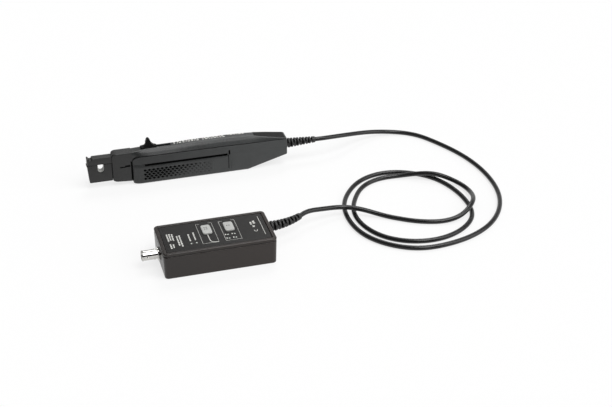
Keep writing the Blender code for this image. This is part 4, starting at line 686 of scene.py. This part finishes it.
def markPits(piece, pit):
    # how deep each vertex lies, which the finish turns into painted shade; vertices after the given
    # ones count as level
    depth = np.zeros(len(piece.data.vertices))
    depth[:pit.size] = pit.ravel()
    piece.data.attributes.new("pit", "FLOAT", "POINT").data.foreach_set("value", depth)


def closedPair(face, back):
    # a grid of points and the same grid behind it, joined round the rim
    index = np.arange(face[..., 0].size).reshape(face.shape[:2])
    quads = np.stack([index[:-1, :-1], index[:-1, 1:], index[1:, 1:], index[1:, :-1]], axis=-1)
    quads = quads.reshape(-1, 4)
    rim = np.concatenate([index[0], index[1:, -1], index[-1, -2::-1], index[-2:0:-1, 0]])
    beside = np.roll(rim, -1)
    band = np.stack([rim, beside, beside + index.size, rim + index.size], axis=-1)
    faces = quads.tolist() + (quads[:, ::-1] + index.size).tolist() + band.tolist()
    return np.concatenate([face.reshape(-1, 3), back.reshape(-1, 3)]), faces


def makeGripPanels():
    # a fine grid over the panel; past its rounded outline the grid dives under the shell's face
    front, length, low, height = (panel[name] for name in ("front", "length", "low", "height"))
    x, z = np.meshgrid(np.linspace(front - 0.1, front + length + 0.1, 420),
                       np.linspace(low - 0.1, low + height + 0.1, 84), indexing="ij")
    awayX = np.abs(x - front - length / 2) - length / 2 + panel["corner"]
    awayZ = np.abs(z - low - height / 2) - height / 2 + panel["corner"]
    outside = np.hypot(np.maximum(awayX, 0), np.maximum(awayZ, 0))
    outside += np.minimum(np.maximum(awayX, awayZ), 0) - panel["corner"]
    edge, pit = np.clip((outside + 0.45) / 0.45, 0.0, 1.0), pitDepth(x, z)
    proud = panel["proud"] - 0.35 * edge ** 2 - panel["pitDepth"] * pit
    for side, sign in (("near", -1), ("far", 1)):
        face = np.stack([x, sign * (gripHalf + proud), z], axis=-1)
        back = face.copy()
        back[..., 1] = sign * (gripHalf - panel["seat"] + 0.2)
        piece = makePiece(f"{side}_grip_insert", closedPair(face, back), probeAt, "grip",
                          f"grip_panel_{side}", sharp=50.0)
        markPits(piece, pit)


def makeUpperShell():
    rings = frontRings(-60.0, tailTaper - 1, tailTaper, tailTaper + 1)
    x, depth = ringPlaces(gripFront, tailEnd, rings, 0.3, 0.9)
    half, low, top = sideHalfAt(x), probe["seam"] + 0.3, creaseAt(x) - 0.4
    shape = lengthwise(x, depth, [0.03, 0.03, 0.4, 0.4], (half, low), (half - probe["lean"], top),
                       level=slice(4))
    piece = makePiece("upper_shell", shape, probeAt, "body", "upper_housing")
    carve(piece, probeAt, [
        pocket(gripFront + 1.6, -3.0, 6.1, 22.9, 31.0),
        pocket(gripFront + 4.6, -9.0, 5.0, 20.0, 24.0),
        pocket(gripFront - 2.0, gripFront + 3.0, 4.1, 22.9, 31.0),
        *(slab(keyhole, *outward(sign, bodyHalf - 1.7), "y", 0.02, 0.6) for sign in (-1, 1))])


# the roof's x, half width, flat half and height; the falling part widens as it cuts the bevels
flat, tailHalf = probe["roofFlat"], probe["tailHalf"]
roofStations = np.array([
    (gripFront, neckHalf + 0.1, neckHalf - 1.0, 34.4),
    (gripFront + 6.0, bodyHalf - 0.9, flat + 1.0, 34.9),
    (gripFront + 13.0, bodyHalf, flat, probe["roof"]), (-112.0, bodyHalf, flat, probe["roof"]),
    (-98.0, bodyHalf, flat, 36.4), (-58.0, bodyHalf, flat, 36.5),
    (-46.0, bodyHalf, flat + 0.1, 36.1), (-34.5, bodyHalf, flat + 0.3, 35.4),
    (-30.5, bodyHalf, flat + 0.9, 34.8), (-18.0, bodyHalf, flat + 2.4, 32.6),
    (-4.0, tailHalf + 0.1, flat + 3.3, 30.1), (-1.5, tailHalf, flat + 3.3, 29.7),
    (0.9, tailHalf - 0.2, flat + 3.0, 29.1)])
tailShadeSheet = dict(front=-32.6, rear=-0.2, margin=0.3, proud=0.06, thickness=0.5)


def roofAt(x, column):
    return np.interp(x, roofStations[:, 0], roofStations[:, column])


def makeRoof():
    rings = frontRings(*np.linspace(gripFront + 9.5, -35.0, 22), *np.linspace(-34.0, -1.0, 24))
    x, depth = ringPlaces(gripFront, tailEnd, rings, 0.05, 0.6)
    half, flatHalf, top = (roofAt(x, column) for column in (1, 2, 3))
    half, low = np.minimum(half, sideHalfAt(x) + 0.02) - probe["lean"], creaseAt(x) + 0.35
    shoulder = (half + flatHalf) / 2 + 0.15, (low + top) / 2 + 0.15
    shape = lengthwise(x, depth, [0.4, 0.4, 1.0, 0.9, 0.9, 1.0], (half, low), shoulder,
                       (flatHalf, top), level=slice(2))
    piece = makePiece("roof_cover", shape, probeAt, "roof", "top_cover")
    front, rear = lever["slotFront"], lever["slotRear"]
    slot = rectangle(((front + rear) / 2, 0.0), (rear - front, 4.0))
    tongueWay = pocket(gripFront - 1.0, gripFront + 14.0, 4.0, 20.0, 28.9)
    carve(piece, probeAt, [pocket(gripFront + 1.2, -45.0, 3.4, 28.0, 34.3),
                           pocket(gripFront + 5.0, -45.0, 5.2, 28.0, 31.6),
                           slab(slot, 33.0, 38.0, "z", 0.02, 0.8), tongueWay])


def makeTailShadeSheet():
    # a dark plate lies on the falling part of the roof, painted shade for that facet
    x = np.linspace(tailShadeSheet["front"], tailShadeSheet["rear"], 30)
    half, top = roofAt(x, 2) - tailShadeSheet["margin"], roofAt(x, 3) + tailShadeSheet["proud"]
    top[[0, -1]] -= 0.1
    corners = mirrored((half, top - tailShadeSheet["thickness"]), (half, top))
    makePiece("tail_shade_sheet", skin(stand(roundCorners(corners, 0.1, 2), x, "x")), probeAt, "plate")


def makeNeck():
    front, rear, nose, wall = probe["neckFront"], gripFront - 0.1, probe["noseHalf"], 1.3
    between = front + 5.5 * (1 - np.cos(np.linspace(0.35, math.pi / 2, 8)))
    x, depth = ringPlaces(front, rear, between, 0.35, 0.05)
    half = neckHalf - bulge(x, front, 4.5, 1.5)
    low = probe["neckBottom"] + bulge(x, front, 5.0, 2.0)
    low -= np.interp(x, [front + 3.0, rear], [0.0, 1.2])
    high = probe["neckTop"] - bulge(x, front, 4.5, 2.3)
    shape = lengthwise(x, depth, [1.5, 1.5, 1.4, 1.4], (half, low), (half, high))
    piece = makePiece("neck_shell", shape, probeAt, "head", "head_block")
    mouth, seam = (front - 2.0, front + wall + 1.0), probe["jawSeam"]
    cuts = [pocket(front + wall, rear + 2.0, neckHalf - wall - 0.1, 6.6, 32.4),
            pocket(*mouth, nose + 0.3, seam, probe["noseTop"] + 0.15),
            pocket(*mouth, 2.5, 7.7, seam + 1.0)]
    for sign in (-1, 1):
        across = outward(sign, neckHalf - neckStep["depth"], 8.0)
        cuts += [plainBlock(along, across, up) for along, up in neckSlit]
        cuts.append(plainBlock((rear - neckStep["gap"], rear + 0.5), across,
                               (2.0, neckStep["top"])))
    carve(piece, probeAt, cuts)


jaw = dict(aperture=-185.0, apertureHalf=2.9, apertureDepth=7.8, slideBottom=24.7, rear=-172.6,
           coreFront=-195.7, coreHalf=2.5)


def slotCorners(half, bottom, top):
    # down one side, round the half-circle at the foot, and up the other
    angle = np.linspace(0.0, -math.pi, 13)
    foot = np.stack([jaw["aperture"] + half * np.cos(angle),
                     bottom + half * (1 + np.sin(angle))], axis=-1)
    return [(jaw["aperture"] + half, top), *map(tuple, foot), (jaw["aperture"] - half, top)]


def makeJaws():
    rear, seam, nose = probe["neckFront"] - 0.3, probe["jawSeam"], probe["noseFront"]
    half, under, bottom = probe["noseHalf"], probe["noseBottom"], seam - jaw["apertureDepth"]
    coreFront, core = jaw["coreFront"], jaw["coreHalf"]
    slot = slotCorners(jaw["apertureHalf"] + 0.1, bottom - 0.1, seam)
    outline = [(nose + 2.0, under), (rear, under), (rear, seam), *slot, (nose, seam),
               (nose + 0.8, seam - 2.0)]
    reach = [0.5, 0.15, 0.1, 0.12, *[0.02] * (len(slot) - 2), 0.12, 0.2, 0.5]
    fixed = slab(outline, -half, half, "y", 0.3, reach)
    fixed = makePiece("fixed_jaw_shell", fixed, probeAt, "head", "fixed_jaw")
    carve(fixed, probeAt, [pocket(coreFront, -190.6, core, 7.5, 26.0),
                           pocket(coreFront, rear + 1.0, core, 7.5, 14.8)])
    lining = slotCorners(jaw["apertureHalf"] + 0.06, bottom - 0.06, seam - 0.3)
    lining += slotCorners(jaw["apertureHalf"] - 0.1, bottom + 0.1, seam - 0.3)[::-1]
    makePiece("aperture_lining", slab(lining, 0.5 - half, half - 0.5, "y", 0.03, 0.01, 1), probeAt,
              "liner", "aperture_liner")

    front, rear, top, low = nose + 0.8, jaw["rear"], probe["noseTop"], jaw["slideBottom"]
    crown = [(front, low), (rear, low), (rear, top), (front + 5.0, top), (front + 4.4, top - 1.7),
             (front + 2.2, top - 1.7), (front + 1.4, top - 0.1), (front, top)]
    crown = slab(crown, -half, half, "y", 0.3, [0.2, 0.15, 0.15, 0.5, 0.4, 0.3, 0.3, 0.3])
    sliding = makePiece("sliding_jaw_shell", crown, probeAt, "head", "upper_jaw", body="jaw")
    carve(sliding, probeAt, [pocket(coreFront - 0.2, rear + 1.0, core, low - 1.0, low + 2.7)])
    tongue = plainBlock((rear - 0.4, -161.6), (-3.5, 3.5), (low + 0.1, 28.2))
    tongue = makePiece("jaw_tongue", tongue, probeAt, "inner", body="jaw")
    carve(tongue, probeAt, [pocket(rear - 2.0, -163.1, core, low - 1.0, low + 2.7)])
    print("jaws made")


lever = dict(saddleFront=-145.5, saddleLength=16.5, saddleWidth=6.0, saddleHeight=1.1,
             finHeight=8.2, finWidth=4.8, slotFront=-142.85, slotRear=-115.15)


def makeLever():
    front, length, fin = lever["saddleFront"], lever["saddleLength"], lever["finWidth"] / 2
    low, rear = probe["roof"] + 0.3, front + length
    high = low + lever["saddleHeight"]
    saddle = rectangle((front + length / 2, 0.0), (length, lever["saddleWidth"]))
    saddle = slab(saddle, low, high, "z", 0.35, 2.6, 8)
    tip = lever["finHeight"]
    # from the front foot over the tip to the rear foot: distances from the saddle's rear and top
    edge = [(-14.6, -0.3), (-12.4, 0.5), (-11.0, 1.9), (-10.3, 4.2), (-9.8, tip - 1.0), (-8.6, tip),
            (-7.2, tip - 0.5), (-6.2, tip - 2.4), (-5.0, 2.9), (-3.2, 1.0), (-1.2, -0.3)]
    curve = curveThrough([(rear + x, 0.0, high + z) for x, z in edge], 0.45)[:, [0, 2]]
    ridges = [revolve([(-2.2, 0.05), (-2.1, 0.32), (2.1, 0.32), (2.2, 0.05)], "y",
                      (rear - 10.8 + 0.9 * share, high + 2.0 + (tip - 3.6) * share), 16)
              for share in (0.2, 0.36, 0.52, 0.68)]
    stem = plainBlock((-142.25, -132.25), (-1.7, 1.7), (28.5, high - 0.2))
    shutter = plainBlock((-146.25, rear + 18.0), (-2.45, 2.45), (33.2, 34.1))
    shape = joined(saddle, slab(curve[::-1], -fin, fin, "y", 0.55, 0.02, 4), stem, shutter, *ridges)
    makePiece("thumb_slide", shape, probeAt, "lever", "thumb_lever", body="jaw")


spring = dict(front=-121.0, rear=-93.0, height=26.45, radius=1.4, wire=0.35, turns=14, shut=11.5)


def makeSpring():
    # a tube round the helix (x, r cos t, r sin t), t growing evenly with x
    front, rear, wire, turns = (spring[name] for name in ("front", "rear", "wire", "turns"))
    turn = np.linspace(0.0, 2 * math.pi * turns, 20 * turns + 1)[:, None]
    around = np.linspace(0.0, 2 * math.pi, 8, endpoint=False)[None, :]
    reach = spring["radius"] + wire * np.cos(around)
    x = front + wire + (rear - front - 2 * wire) * turn / turn[-1] + wire * np.sin(around)
    points = np.stack([x, reach * np.cos(turn), spring["height"] + reach * np.sin(turn)], axis=-1)
    piece = makePiece("return_coil", skin(points), probeAt, "steel", "return_spring", sharp=50.0)
    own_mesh(piece)


relief = dict(root=5.2, tip=3.1, neck=4.2, flange=5.4, flangeThickness=2.4, ribs=9, depth=1.5,
              firstRib=2.0, plainEnd=2.0)


def ribbedSleeve(wall, length, turn):
    # radius over distance and angle: a cone with grooves, each bridged by two webs in turn
    root, neck, flange = relief["root"], relief["neck"], relief["flange"]
    distance = np.linspace(0.0, length, 300)
    angle = np.linspace(0.0, 2 * math.pi, 48, endpoint=False)
    along, around = np.meshgrid(distance, angle, indexing="ij")
    pitch = (length - relief["firstRib"] - relief["plainEnd"]) / relief["ribs"]
    phase = (along - relief["firstRib"]) / pitch
    index = np.floor(phase)
    inGroove = np.clip((0.27 - np.abs(phase - index - 0.3)) / 0.06, 0.0, 1.0)
    inGroove *= (phase > 0) & (phase < relief["ribs"])
    web = np.clip((np.abs(np.cos(around + index * math.pi / 2)) - 0.9) / 0.05, 0.0, 1.0)
    radius = root + (relief["tip"] - root) * along / length
    radius -= relief["depth"] * inGroove * (1 - 0.75 * web)
    radius *= 1 - 0.10 * np.clip((along - length + 0.8) / 0.8, 0.0, 1.0) ** 2
    # inside the housing a neck leads to the flange
    inner = -wall - 0.3
    plain = np.array([(inner - relief["flangeThickness"], flange), (inner, flange), (inner, neck),
                      (0.3, neck), (0.3, root - 0.15)])
    distance = np.concatenate([plain[:, 0], np.maximum(distance, 0.35)])
    radius = np.concatenate([np.broadcast_to(plain[:, 1:], (5, len(angle))), radius])
    # the axis runs along +X, or on an arc that turns by `turn` over the sleeve's length
    heading, centreX, centreY = 0 * distance, distance, 0 * distance
    if turn:
        heading, bend = turn * np.maximum(distance, 0.0) / length, length / turn
        centreX = bend * np.sin(heading) + np.minimum(distance, 0.0)
        centreY = bend * (1 - np.cos(heading))
    heading, centreX, centreY = (part[:, None] for part in (heading, centreX, centreY))
    across = radius * np.cos(angle)
    points = np.stack([centreX - np.sin(heading) * across, centreY + np.cos(heading) * across,
                       radius * np.sin(angle)], axis=-1)
    return skin(points), np.concatenate([np.zeros((5, len(angle))), inGroove * (1 - web)])


def makeReliefs():
    mouth = probeAt + (0.0, 0.0, cord["height"])
    for name, mouth, wall, length, turn in (
            ("probe", mouth, 2.2, cord["reliefLength"], 0.0),
            ("box", boxAt + cord["boxReliefPlace"], 2.6, cord["boxReliefLength"],
             cord["boxReliefTurn"])):
        shape, depth = ribbedSleeve(wall, length, turn)
        piece = makePiece(f"{name}_cord_relief", shape, mouth, "rubber", f"{name}_strain_relief",
                          sharp=40.0)
        markPits(piece, depth)
    print("strain reliefs made")


box = dict(
    length=101.0, width=50.6, height=25.4, corner=4.0, draft=0.6, edge=1.0,
    seam=22.2, gap=0.5, rim=3.4, recess=1.0, labelTop=25.1, labelBottom=24.7, labelGap=1.1,
    screwX=36.5, screwY=19.5, screwRadius=2.7, jackY=-11.0, jackSize=(9.6, 4.0),
)
keys = dict(size=(8.6, 14.4), corner=2.0, proud=1.5, y=6.1, zeroX=-6.4, rangeX=13.8, crown=0.12)
statusLamps = ((-23.4, -12.1), (-18.8, -12.1))
rangeLamps = ((10.4, -6.2), (16.4, -6.2), (10.4, -12.4), (16.4, -12.4))


def boxRings(heights, grow, corner, centre=(0.0, 0.0), size=(box["length"], box["width"]),
             least=0.3, steps=9):
    # rounded rectangles, grown or shrunk, one at each height
    base = np.broadcast_to(np.array(rectangle(centre, size)), (len(heights), 4, 2))
    reach = np.maximum(corner + grow, least)[:, None]
    return stand(roundCorners(insetCorners(base, -grow), reach, steps), heights, "z")


def makeBoxBase():
    come, left = quarterArc(5)
    edge, top, half = box["edge"], box["seam"], box["length"] / 2
    heights = np.concatenate([edge * come, [edge + 0.2, top - 1.0], top - 0.8 * left])
    shrink = np.concatenate([edge * left, [0.0, 0.0], 0.8 * come])
    rings = boxRings(heights, -box["draft"] * (1 - heights / top) - shrink, box["corner"])
    piece = makePiece("box_tray", skin(rings), boxAt, "box", "box_base")
    cuts = [skin(boxRings(np.array([2.0, 30.0]), np.array([-2.7, -2.1]), box["corner"])),
            slab(rectangle((box["jackY"], 11.5), box["jackSize"]), half - 6.0, half + 4.0, "x",
                 0.02, 1.9, 8),
            revolve([(-half - 3.0, 5.0), (6.0 - half, 5.0)], "x", (0.0, socketPiece["height"])),
            revolve([(half - 6.0, 4.5), (half + 3.0, 4.5)], "x", cord["boxReliefPlace"][1:])]
    cuts += [revolve([(-2.0, box["screwRadius"]), (3.0, box["screwRadius"])], "z", (x, y), 32)
             for x in (-box["screwX"], box["screwX"]) for y in (-box["screwY"], box["screwY"])]
    carve(piece, boxAt, cuts)


def keyHoles(grow):
    low, high = 20.0, 28.0
    size = [length + 2 * grow for length in keys["size"]]
    holes = [slab(rectangle((x, keys["y"]), size), low, high, "z", 0.02, keys["corner"] + grow, 6)
             for x in (keys["zeroX"], keys["rangeX"])]
    return holes + [revolve([(low, 1.1), (high, 1.1)], "z", at, 24)
                    for at in statusLamps + rangeLamps]


def makeLid():
    come, left = quarterArc(5)
    low, top, rim = box["seam"] + box["gap"], box["height"], box["rim"]
    under, outer, inner = 0.5, 0.9, 0.4      # roundings of the lower edge and of the rim
    heights = np.concatenate([
        low + under * come, [low + under + 0.15, top - outer - 0.15], top - outer * left,
        [top, top], top - inner * come, [top - inner - 0.1, top - box["recess"]]])
    grow = np.concatenate([
        -under * left, [0.0, 0.0], -outer * come, [-outer - flatEdge, -rim + inner + flatEdge],
        -rim + inner * left, [-rim, -rim]])
    rings = boxRings(heights, grow, box["corner"])
    carve(makePiece("box_cover", skin(rings), boxAt, "box", "box_lid"), boxAt, keyHoles(0.3))


def makeLabel():
    less = 2 * box["rim"] + box["labelGap"]
    outline = rectangle((0.0, 0.0), (box["length"] - less, box["width"] - less))
    film = slab(outline, box["labelBottom"], box["labelTop"], "z", 0.08, 0.8, 6)
    carve(makePiece("label_film", film, boxAt, "film", "label_panel"), boxAt, keyHoles(0.25))


ink = dict(thickness=0.05, sunk=0.02, line=0.22)
labelMarks = dict(
    frames=((-13.8, 0.4, -15.8, 17.6), (6.8, 21.0, -16.0, 17.4)),   # left, right, low and high
    rule=(42.5, -14.7, 16.6),
    # rows of dashes: x, start, end, width and beat
    lines=((-23.4, 3.4, -8.0, 1.3, 0.4), (-18.7, 5.2, -8.0, 1.3, 1.9),
           (-41.7, 8.2, -4.0, 1.35, 0.0), (-39.6, 8.2, -2.6, 1.35, 1.3),
           (-37.4, 7.4, -3.6, 1.35, 2.6), (-41.3, -8.4, -16.4, 1.35, 3.9),
           (-38.9, -9.4, -15.6, 1.35, 5.2), (-33.7, 3.2, -12.8, 1.35, 6.5),
           (-31.4, 3.6, -15.2, 1.35, 7.8), (34.2, 8.9, 4.2, 1.7, 0.7),
           (37.0, 10.2, 5.4, 2.0, 2.2), (35.6, 2.4, -0.4, 2.2, 4.0)),
    # the zero sign leaves the first key and settles on its rest level; a loop stands at the right
    zero=((-6.9, -1.6), (-6.8, -6.0), (-6.6, -10.4), (-5.8, -13.6), (-3.6, -15.0), (0.0, -15.2)),
    loop=((34.6, -5.0), (34.5, -6.6), (35.8, -7.8), (37.2, -6.8), (37.2, -5.4)),
)
# start and end of each run of dashes, and where its rows lie across the roof
roofMarks = (((-112.0, -87.0), (1.9, -0.4)), ((-83.5, -61.0), (1.9, -0.4)),
             ((-57.5, -41.0), (1.7,)))


def inkBar(x, y, top=box["labelTop"], deep=ink["sunk"]):
    # a printed bar from its lowest and highest x and y
    return plainBlock(sorted(x), sorted(y), (top - deep, top + ink["thickness"]))


def dashes(start, end, mean, swing, pace, beat, gap):
    # dashes of uneven length, mean + swing * sin(pace * count + beat), where words would run
    at, count = start, 0
    while at < end:
        dash = mean + swing * math.sin(pace * count + beat)
        yield at, min(at + dash, end), count, dash
        at, count = at + dash + gap, count + 1


def inkPath(points, width):
    # a printed line of even width along a smooth curve
    path = curveThrough([(x, y, 0.0) for x, y in points], 0.5)[:, :2]
    along = np.gradient(path, axis=0)
    along /= np.linalg.norm(along, axis=1, keepdims=True)
    side = np.stack([-along[:, 1], along[:, 0]], axis=-1) * width / 2
    edges = np.concatenate([path - side, (path + side)[::-1]])
    outline = np.broadcast_to(edges, (2, *edges.shape))
    top = box["labelTop"]
    return skin(stand(outline, [top - ink["sunk"], top + ink["thickness"]], "z"))


def frameMarks(left, right, low, high, notch=3.2):
    # a frame round a key, open at the top between two short ends
    w = ink["line"] / 2
    top = (high - 2 * w, high)
    return [inkBar((left - w, left + w), (low, high)), inkBar((right - w, right + w), (low, high)),
            inkBar((left, left + notch), top), inkBar((right - notch, right), top),
            inkBar((left, right), (low, low + 2 * w))]


def makePrint():
    marks = [bar for frame in labelMarks["frames"] for bar in frameMarks(*frame)]
    x, low, high = labelMarks["rule"]
    marks.append(inkBar((x - 0.8 * ink["line"], x + 0.8 * ink["line"]), (low, high)))
    for x, start, end, width, beat in labelMarks["lines"]:
        marks += [inkBar((x - width / 2, x + width / 2 - 0.25 * (count % 2)), (-far, -near))
                  for near, far, count, _ in dashes(-start, -end, 1.15, 0.55, 2.4, beat, 0.5)]
    marks += [inkBar((x - 2.6, x - 1.5), (y - 0.4, y + 1.2)) for x, y in rangeLamps]
    makePiece("label_print", joined(*marks), boxAt, "ink")
    makePiece("zero_sign", inkPath(labelMarks["zero"], 0.62), boxAt, "ink")
    makePiece("earth_loop", inkPath(labelMarks["loop"], 0.45), boxAt, "ink")


def makeRoofPrint():
    # rows of plain dashes along the top of the grip
    marks = [inkBar((near, far), (y - 0.7, y + 0.7), float(roofAt(near + dash / 2, 3)), 0.12)
             for (start, end), rows in roofMarks for row, y in enumerate(rows)
             for near, far, _, dash in dashes(start, end, 1.6, 0.9, 2.1, 1.7 * row + start, 1.3)]
    makePiece("roof_print", joined(*marks), probeAt, "ink")


def makeKeys():
    come, left = quarterArc(6)
    top, edge, y = box["labelTop"] + keys["proud"] - keys["crown"], 0.7, keys["y"]
    heights = np.concatenate([[21.5, 22.5, 22.5, 23.0, top - edge - 0.1], top - edge * left,
                              top + keys["crown"] * np.array([0.35, 0.65, 0.88, 1.0])])
    grow = np.concatenate([[1.2, 1.2, 0.0, 0.0, 0.0], -edge * come, [-1.5, -2.4, -3.2, -3.9]])
    for name, x, rows in (("zero", keys["zeroX"], (2.2, -0.4)), ("range", keys["rangeX"], (0.4,))):
        cap = skin(boxRings(heights, grow, keys["corner"], (x, y), keys["size"], 0.15, 6))
        stem = revolve([(14.5, 2.0), (22.0, 2.0)], "z", (x, y), 24)
        makePiece(f"{name}_keycap", joined(cap, stem), boxAt, "key", f"{name}_button",
                  body=f"{name}_key")
        marks = [inkBar((x + shift - 0.7, x + shift + 0.6), (y + row - 0.7, y + row + 0.7),
                        top + keys["crown"] - 0.02, 0.1) for row in rows for shift in (-1.5, 0.5)]
        makePiece(f"{name}_key_print", joined(*marks), boxAt, "greyInk", body=f"{name}_key")


def makeLamps():
    come, left = quarterArc(6)
    dome = np.stack([box["labelTop"] + 0.25 - 0.35 * left, 0.88 - 0.86 * come], axis=-1)
    for nodes, places in (("status_lamp", statusLamps), ("range_lamp", rangeLamps)):
        for index, at in enumerate(places, 1):
            lens = revolve([(9.8, 0.88), *dome], "z", at, 24)
            makePiece(f"{nodes}_lens_{index}", lens, boxAt, "lens", f"{nodes}_{index}")
    print("box made")


socketPiece = dict(front=-66.1, wall=-50.5, end=-42.3, height=12.2, barrel=4.6, ring=4.85, bore=4.0,
                   neck=4.35, flange=6.2, thread=4.7, pitch=0.35, lugs=5.4)


def makeSocket():
    barrel, ring, bore, neck, flange, thread = (
        socketPiece[name] for name in ("barrel", "ring", "bore", "neck", "flange", "thread"))
    front, wall, end, height = (socketPiece[name] for name in ("front", "wall", "end", "height"))
    profile = [(front + x, radius) for x, radius in (
        (0.0, ring - 0.3), (0.12, ring - 0.09), (0.35, ring), (1.5, ring), (1.75, barrel),
        (10.6, barrel), (10.75, ring), (12.0, ring), (12.15, neck))]
    profile += [(wall - 1.6, neck), (wall - 1.6, flange - 0.3), (wall - 1.35, flange),
                (wall - 0.25, flange), (wall - 0.25, thread)]
    profile += [(x, thread - 0.25 * (index % 2))
                for index, x in enumerate(np.arange(wall + 2.7, end, socketPiece["pitch"]))]
    profile += [(end, thread - 0.2), (end, bore), (front + 0.5, bore), (front + 0.1, bore + 0.15)]
    shell = revolve(profile, "x", (0.0, height), 64, closed=True)
    lugs = []
    for low, high in ((-ring - 1.0, -4.4), (4.4, ring + 1.0)):
        lug = [(low, 0.05), (low + 0.01, 0.95), (high - 0.15, 0.95), (high, 0.78),
               (high + 0.001, 0.05)]
        lugs.append(revolve(lug, "y", (front + socketPiece["lugs"], height), 24))
    makePiece("socket_barrel", joined(shell, *lugs), boxAt, "nickel", "bnc_body", sharp=28.0)
    print("coaxial socket made")


# pieces that keep the frame's own shape
kept = dict(
    inner="slide_carriage jaw_switch probe_cable_clamp amplifier_chip hall_sensor zero_switch "
          "range_switch",
    nylon="cord_connector cord_socket bnc_insulator",
    ferrite="lower_core upper_core",
    copper="sense_coil",
    steel="slide_rail guide_rod detent_spring housing_screw_front housing_screw_middle "
          "housing_screw_rear box_screw_1 box_screw_2 box_screw_3 box_screw_4 shield_can "
          "bnc_washer",
    nickel="bnc_nut power_jack",
    gold="bnc_contact",
    board="head_board control_board",
    rubber="probe_inner_lead box_inner_lead",
)


def finishKept():
    for finish, names in kept.items():
        for name in names.split():
            materials = frame["nodes"][name].data.materials
            materials.clear()
            materials.append(finishes[finish][0])
    print("kept pieces finished")


studio = dict(floor=6000.0, ceiling=0.30, behind=0.9, room=0.03, paper=0.95, lift=0.75)
lamps = {   # where each stands, its share of the light on the floor, its width in degrees
    "key lamp": ((0.24, -0.28, 0.92), 0.40, 36.0),
    "front lamp": ((0.10, -0.70, 0.71), 0.08, 16.0),
    "right lamp": ((0.78, -0.45, 0.44), 0.15, 50.0),
    "rim lamp": ((0.24, 0.57, 0.79), 0.13, 22.0),
}


def makeFloor():
    # white paper: seen by the camera or in a reflection it is lifted towards white, shadow kept
    mesh = bpy.data.meshes.new("studio floor")
    outline = rectangle((0.0, 0.0), (studio["floor"] * mm, studio["floor"] * mm))
    mesh.from_pydata([(x, y, 0.0) for x, y in outline], [], [(0, 1, 2, 3)])
    finish, tree, shader = newFinish("white paper sweep", {
        "Base Color": (*[studio["paper"]] * 3, 1.0), "Roughness": 0.9, "Specular IOR Level": 0.1})
    path = addNode(tree, "LightPath").outputs
    seen = addNode(tree, "Math", {"operation": "MAXIMUM"},
                   {0: path["Is Camera Ray"], 1: path["Is Glossy Ray"]})
    seen = addNode(tree, "Math", {"operation": "MAXIMUM"},
                   {0: seen, 1: path["Is Transmission Ray"]})
    share = addNode(tree, "Math", {"operation": "MULTIPLY", 1: studio["lift"]}, {0: seen})
    white = addNode(tree, "Emission", {"Strength": 1.0})
    blend = addNode(tree, "MixShader", None, {0: share, 1: shader, 2: white})
    linkTo(tree.nodes["Material Output"], {"Surface": blend})
    mesh.materials.append(finish)
    addObject("studio floor", mesh)


def makeStudio():
    makeFloor()
    for name, (place, share, width) in lamps.items():
        toward = Vector(place).normalized()
        lamp = bpy.data.lights.new(name, "SUN")
        lamp.angle = math.radians(width)
        lamp.energy = share * math.pi / toward.z
        addObject(name, lamp).rotation_euler = (-toward).to_track_quat("-Z", "Y").to_euler()
    world = bpy.data.worlds.new("studio sky")
    world.use_nodes = True
    # low down the paper is bright behind the object and the room dark before it, under a ceiling
    tree, room = world.node_tree, studio["room"]
    sky = addNode(tree, "TexCoord").outputs["Generated"]
    toward = addNode(tree, "SeparateXYZ", None, {0: sky}).outputs
    around = addNode(tree, "MapRange", {"From Min": -0.2, "From Max": 0.5, "To Min": room,
                                        "To Max": studio["behind"]}, {"Value": toward["Y"]})
    paper = addNode(tree, "MapRange", {"From Min": -0.45, "From Max": -0.2}, {"Value": toward["X"]})
    lit = addNode(tree, "Mix", {"data_type": "FLOAT", 2: room}, {0: paper, 3: around})
    height = addNode(tree, "MapRange", {"From Min": 0.32, "From Max": 0.52}, {"Value": toward["Z"]})
    over = addNode(tree, "MapRange", {"From Min": -0.85, "From Max": -0.6, "To Min": room,
                                      "To Max": studio["ceiling"]}, {"Value": toward["Y"]})
    level = addNode(tree, "Mix", {"data_type": "FLOAT"}, {0: height, 2: lit, 3: over})
    linkTo(tree.nodes["Background"], {"Strength": level})
    tree.nodes["Background"].inputs["Color"].default_value = (1.0, 1.0, 1.0, 1.0)
    bpy.context.scene.world = world
    bpy.context.scene.view_settings.view_transform = "Standard"
    print("studio made")


makeCamera()
makeCord()
makeLowerShell()
makeUpperShell()
makeRoof()
makeTailShadeSheet()
makeNeck()
makeGripPanels()
makeShadeStrips()
print("probe body made")
makeJaws()
makeLever()
makeSpring()
makeReliefs()
makeBoxBase()
makeLid()
makeLabel()
makePrint()
makeRoofPrint()
makeKeys()
makeLamps()
makeSocket()
finishKept()
makeStudio()
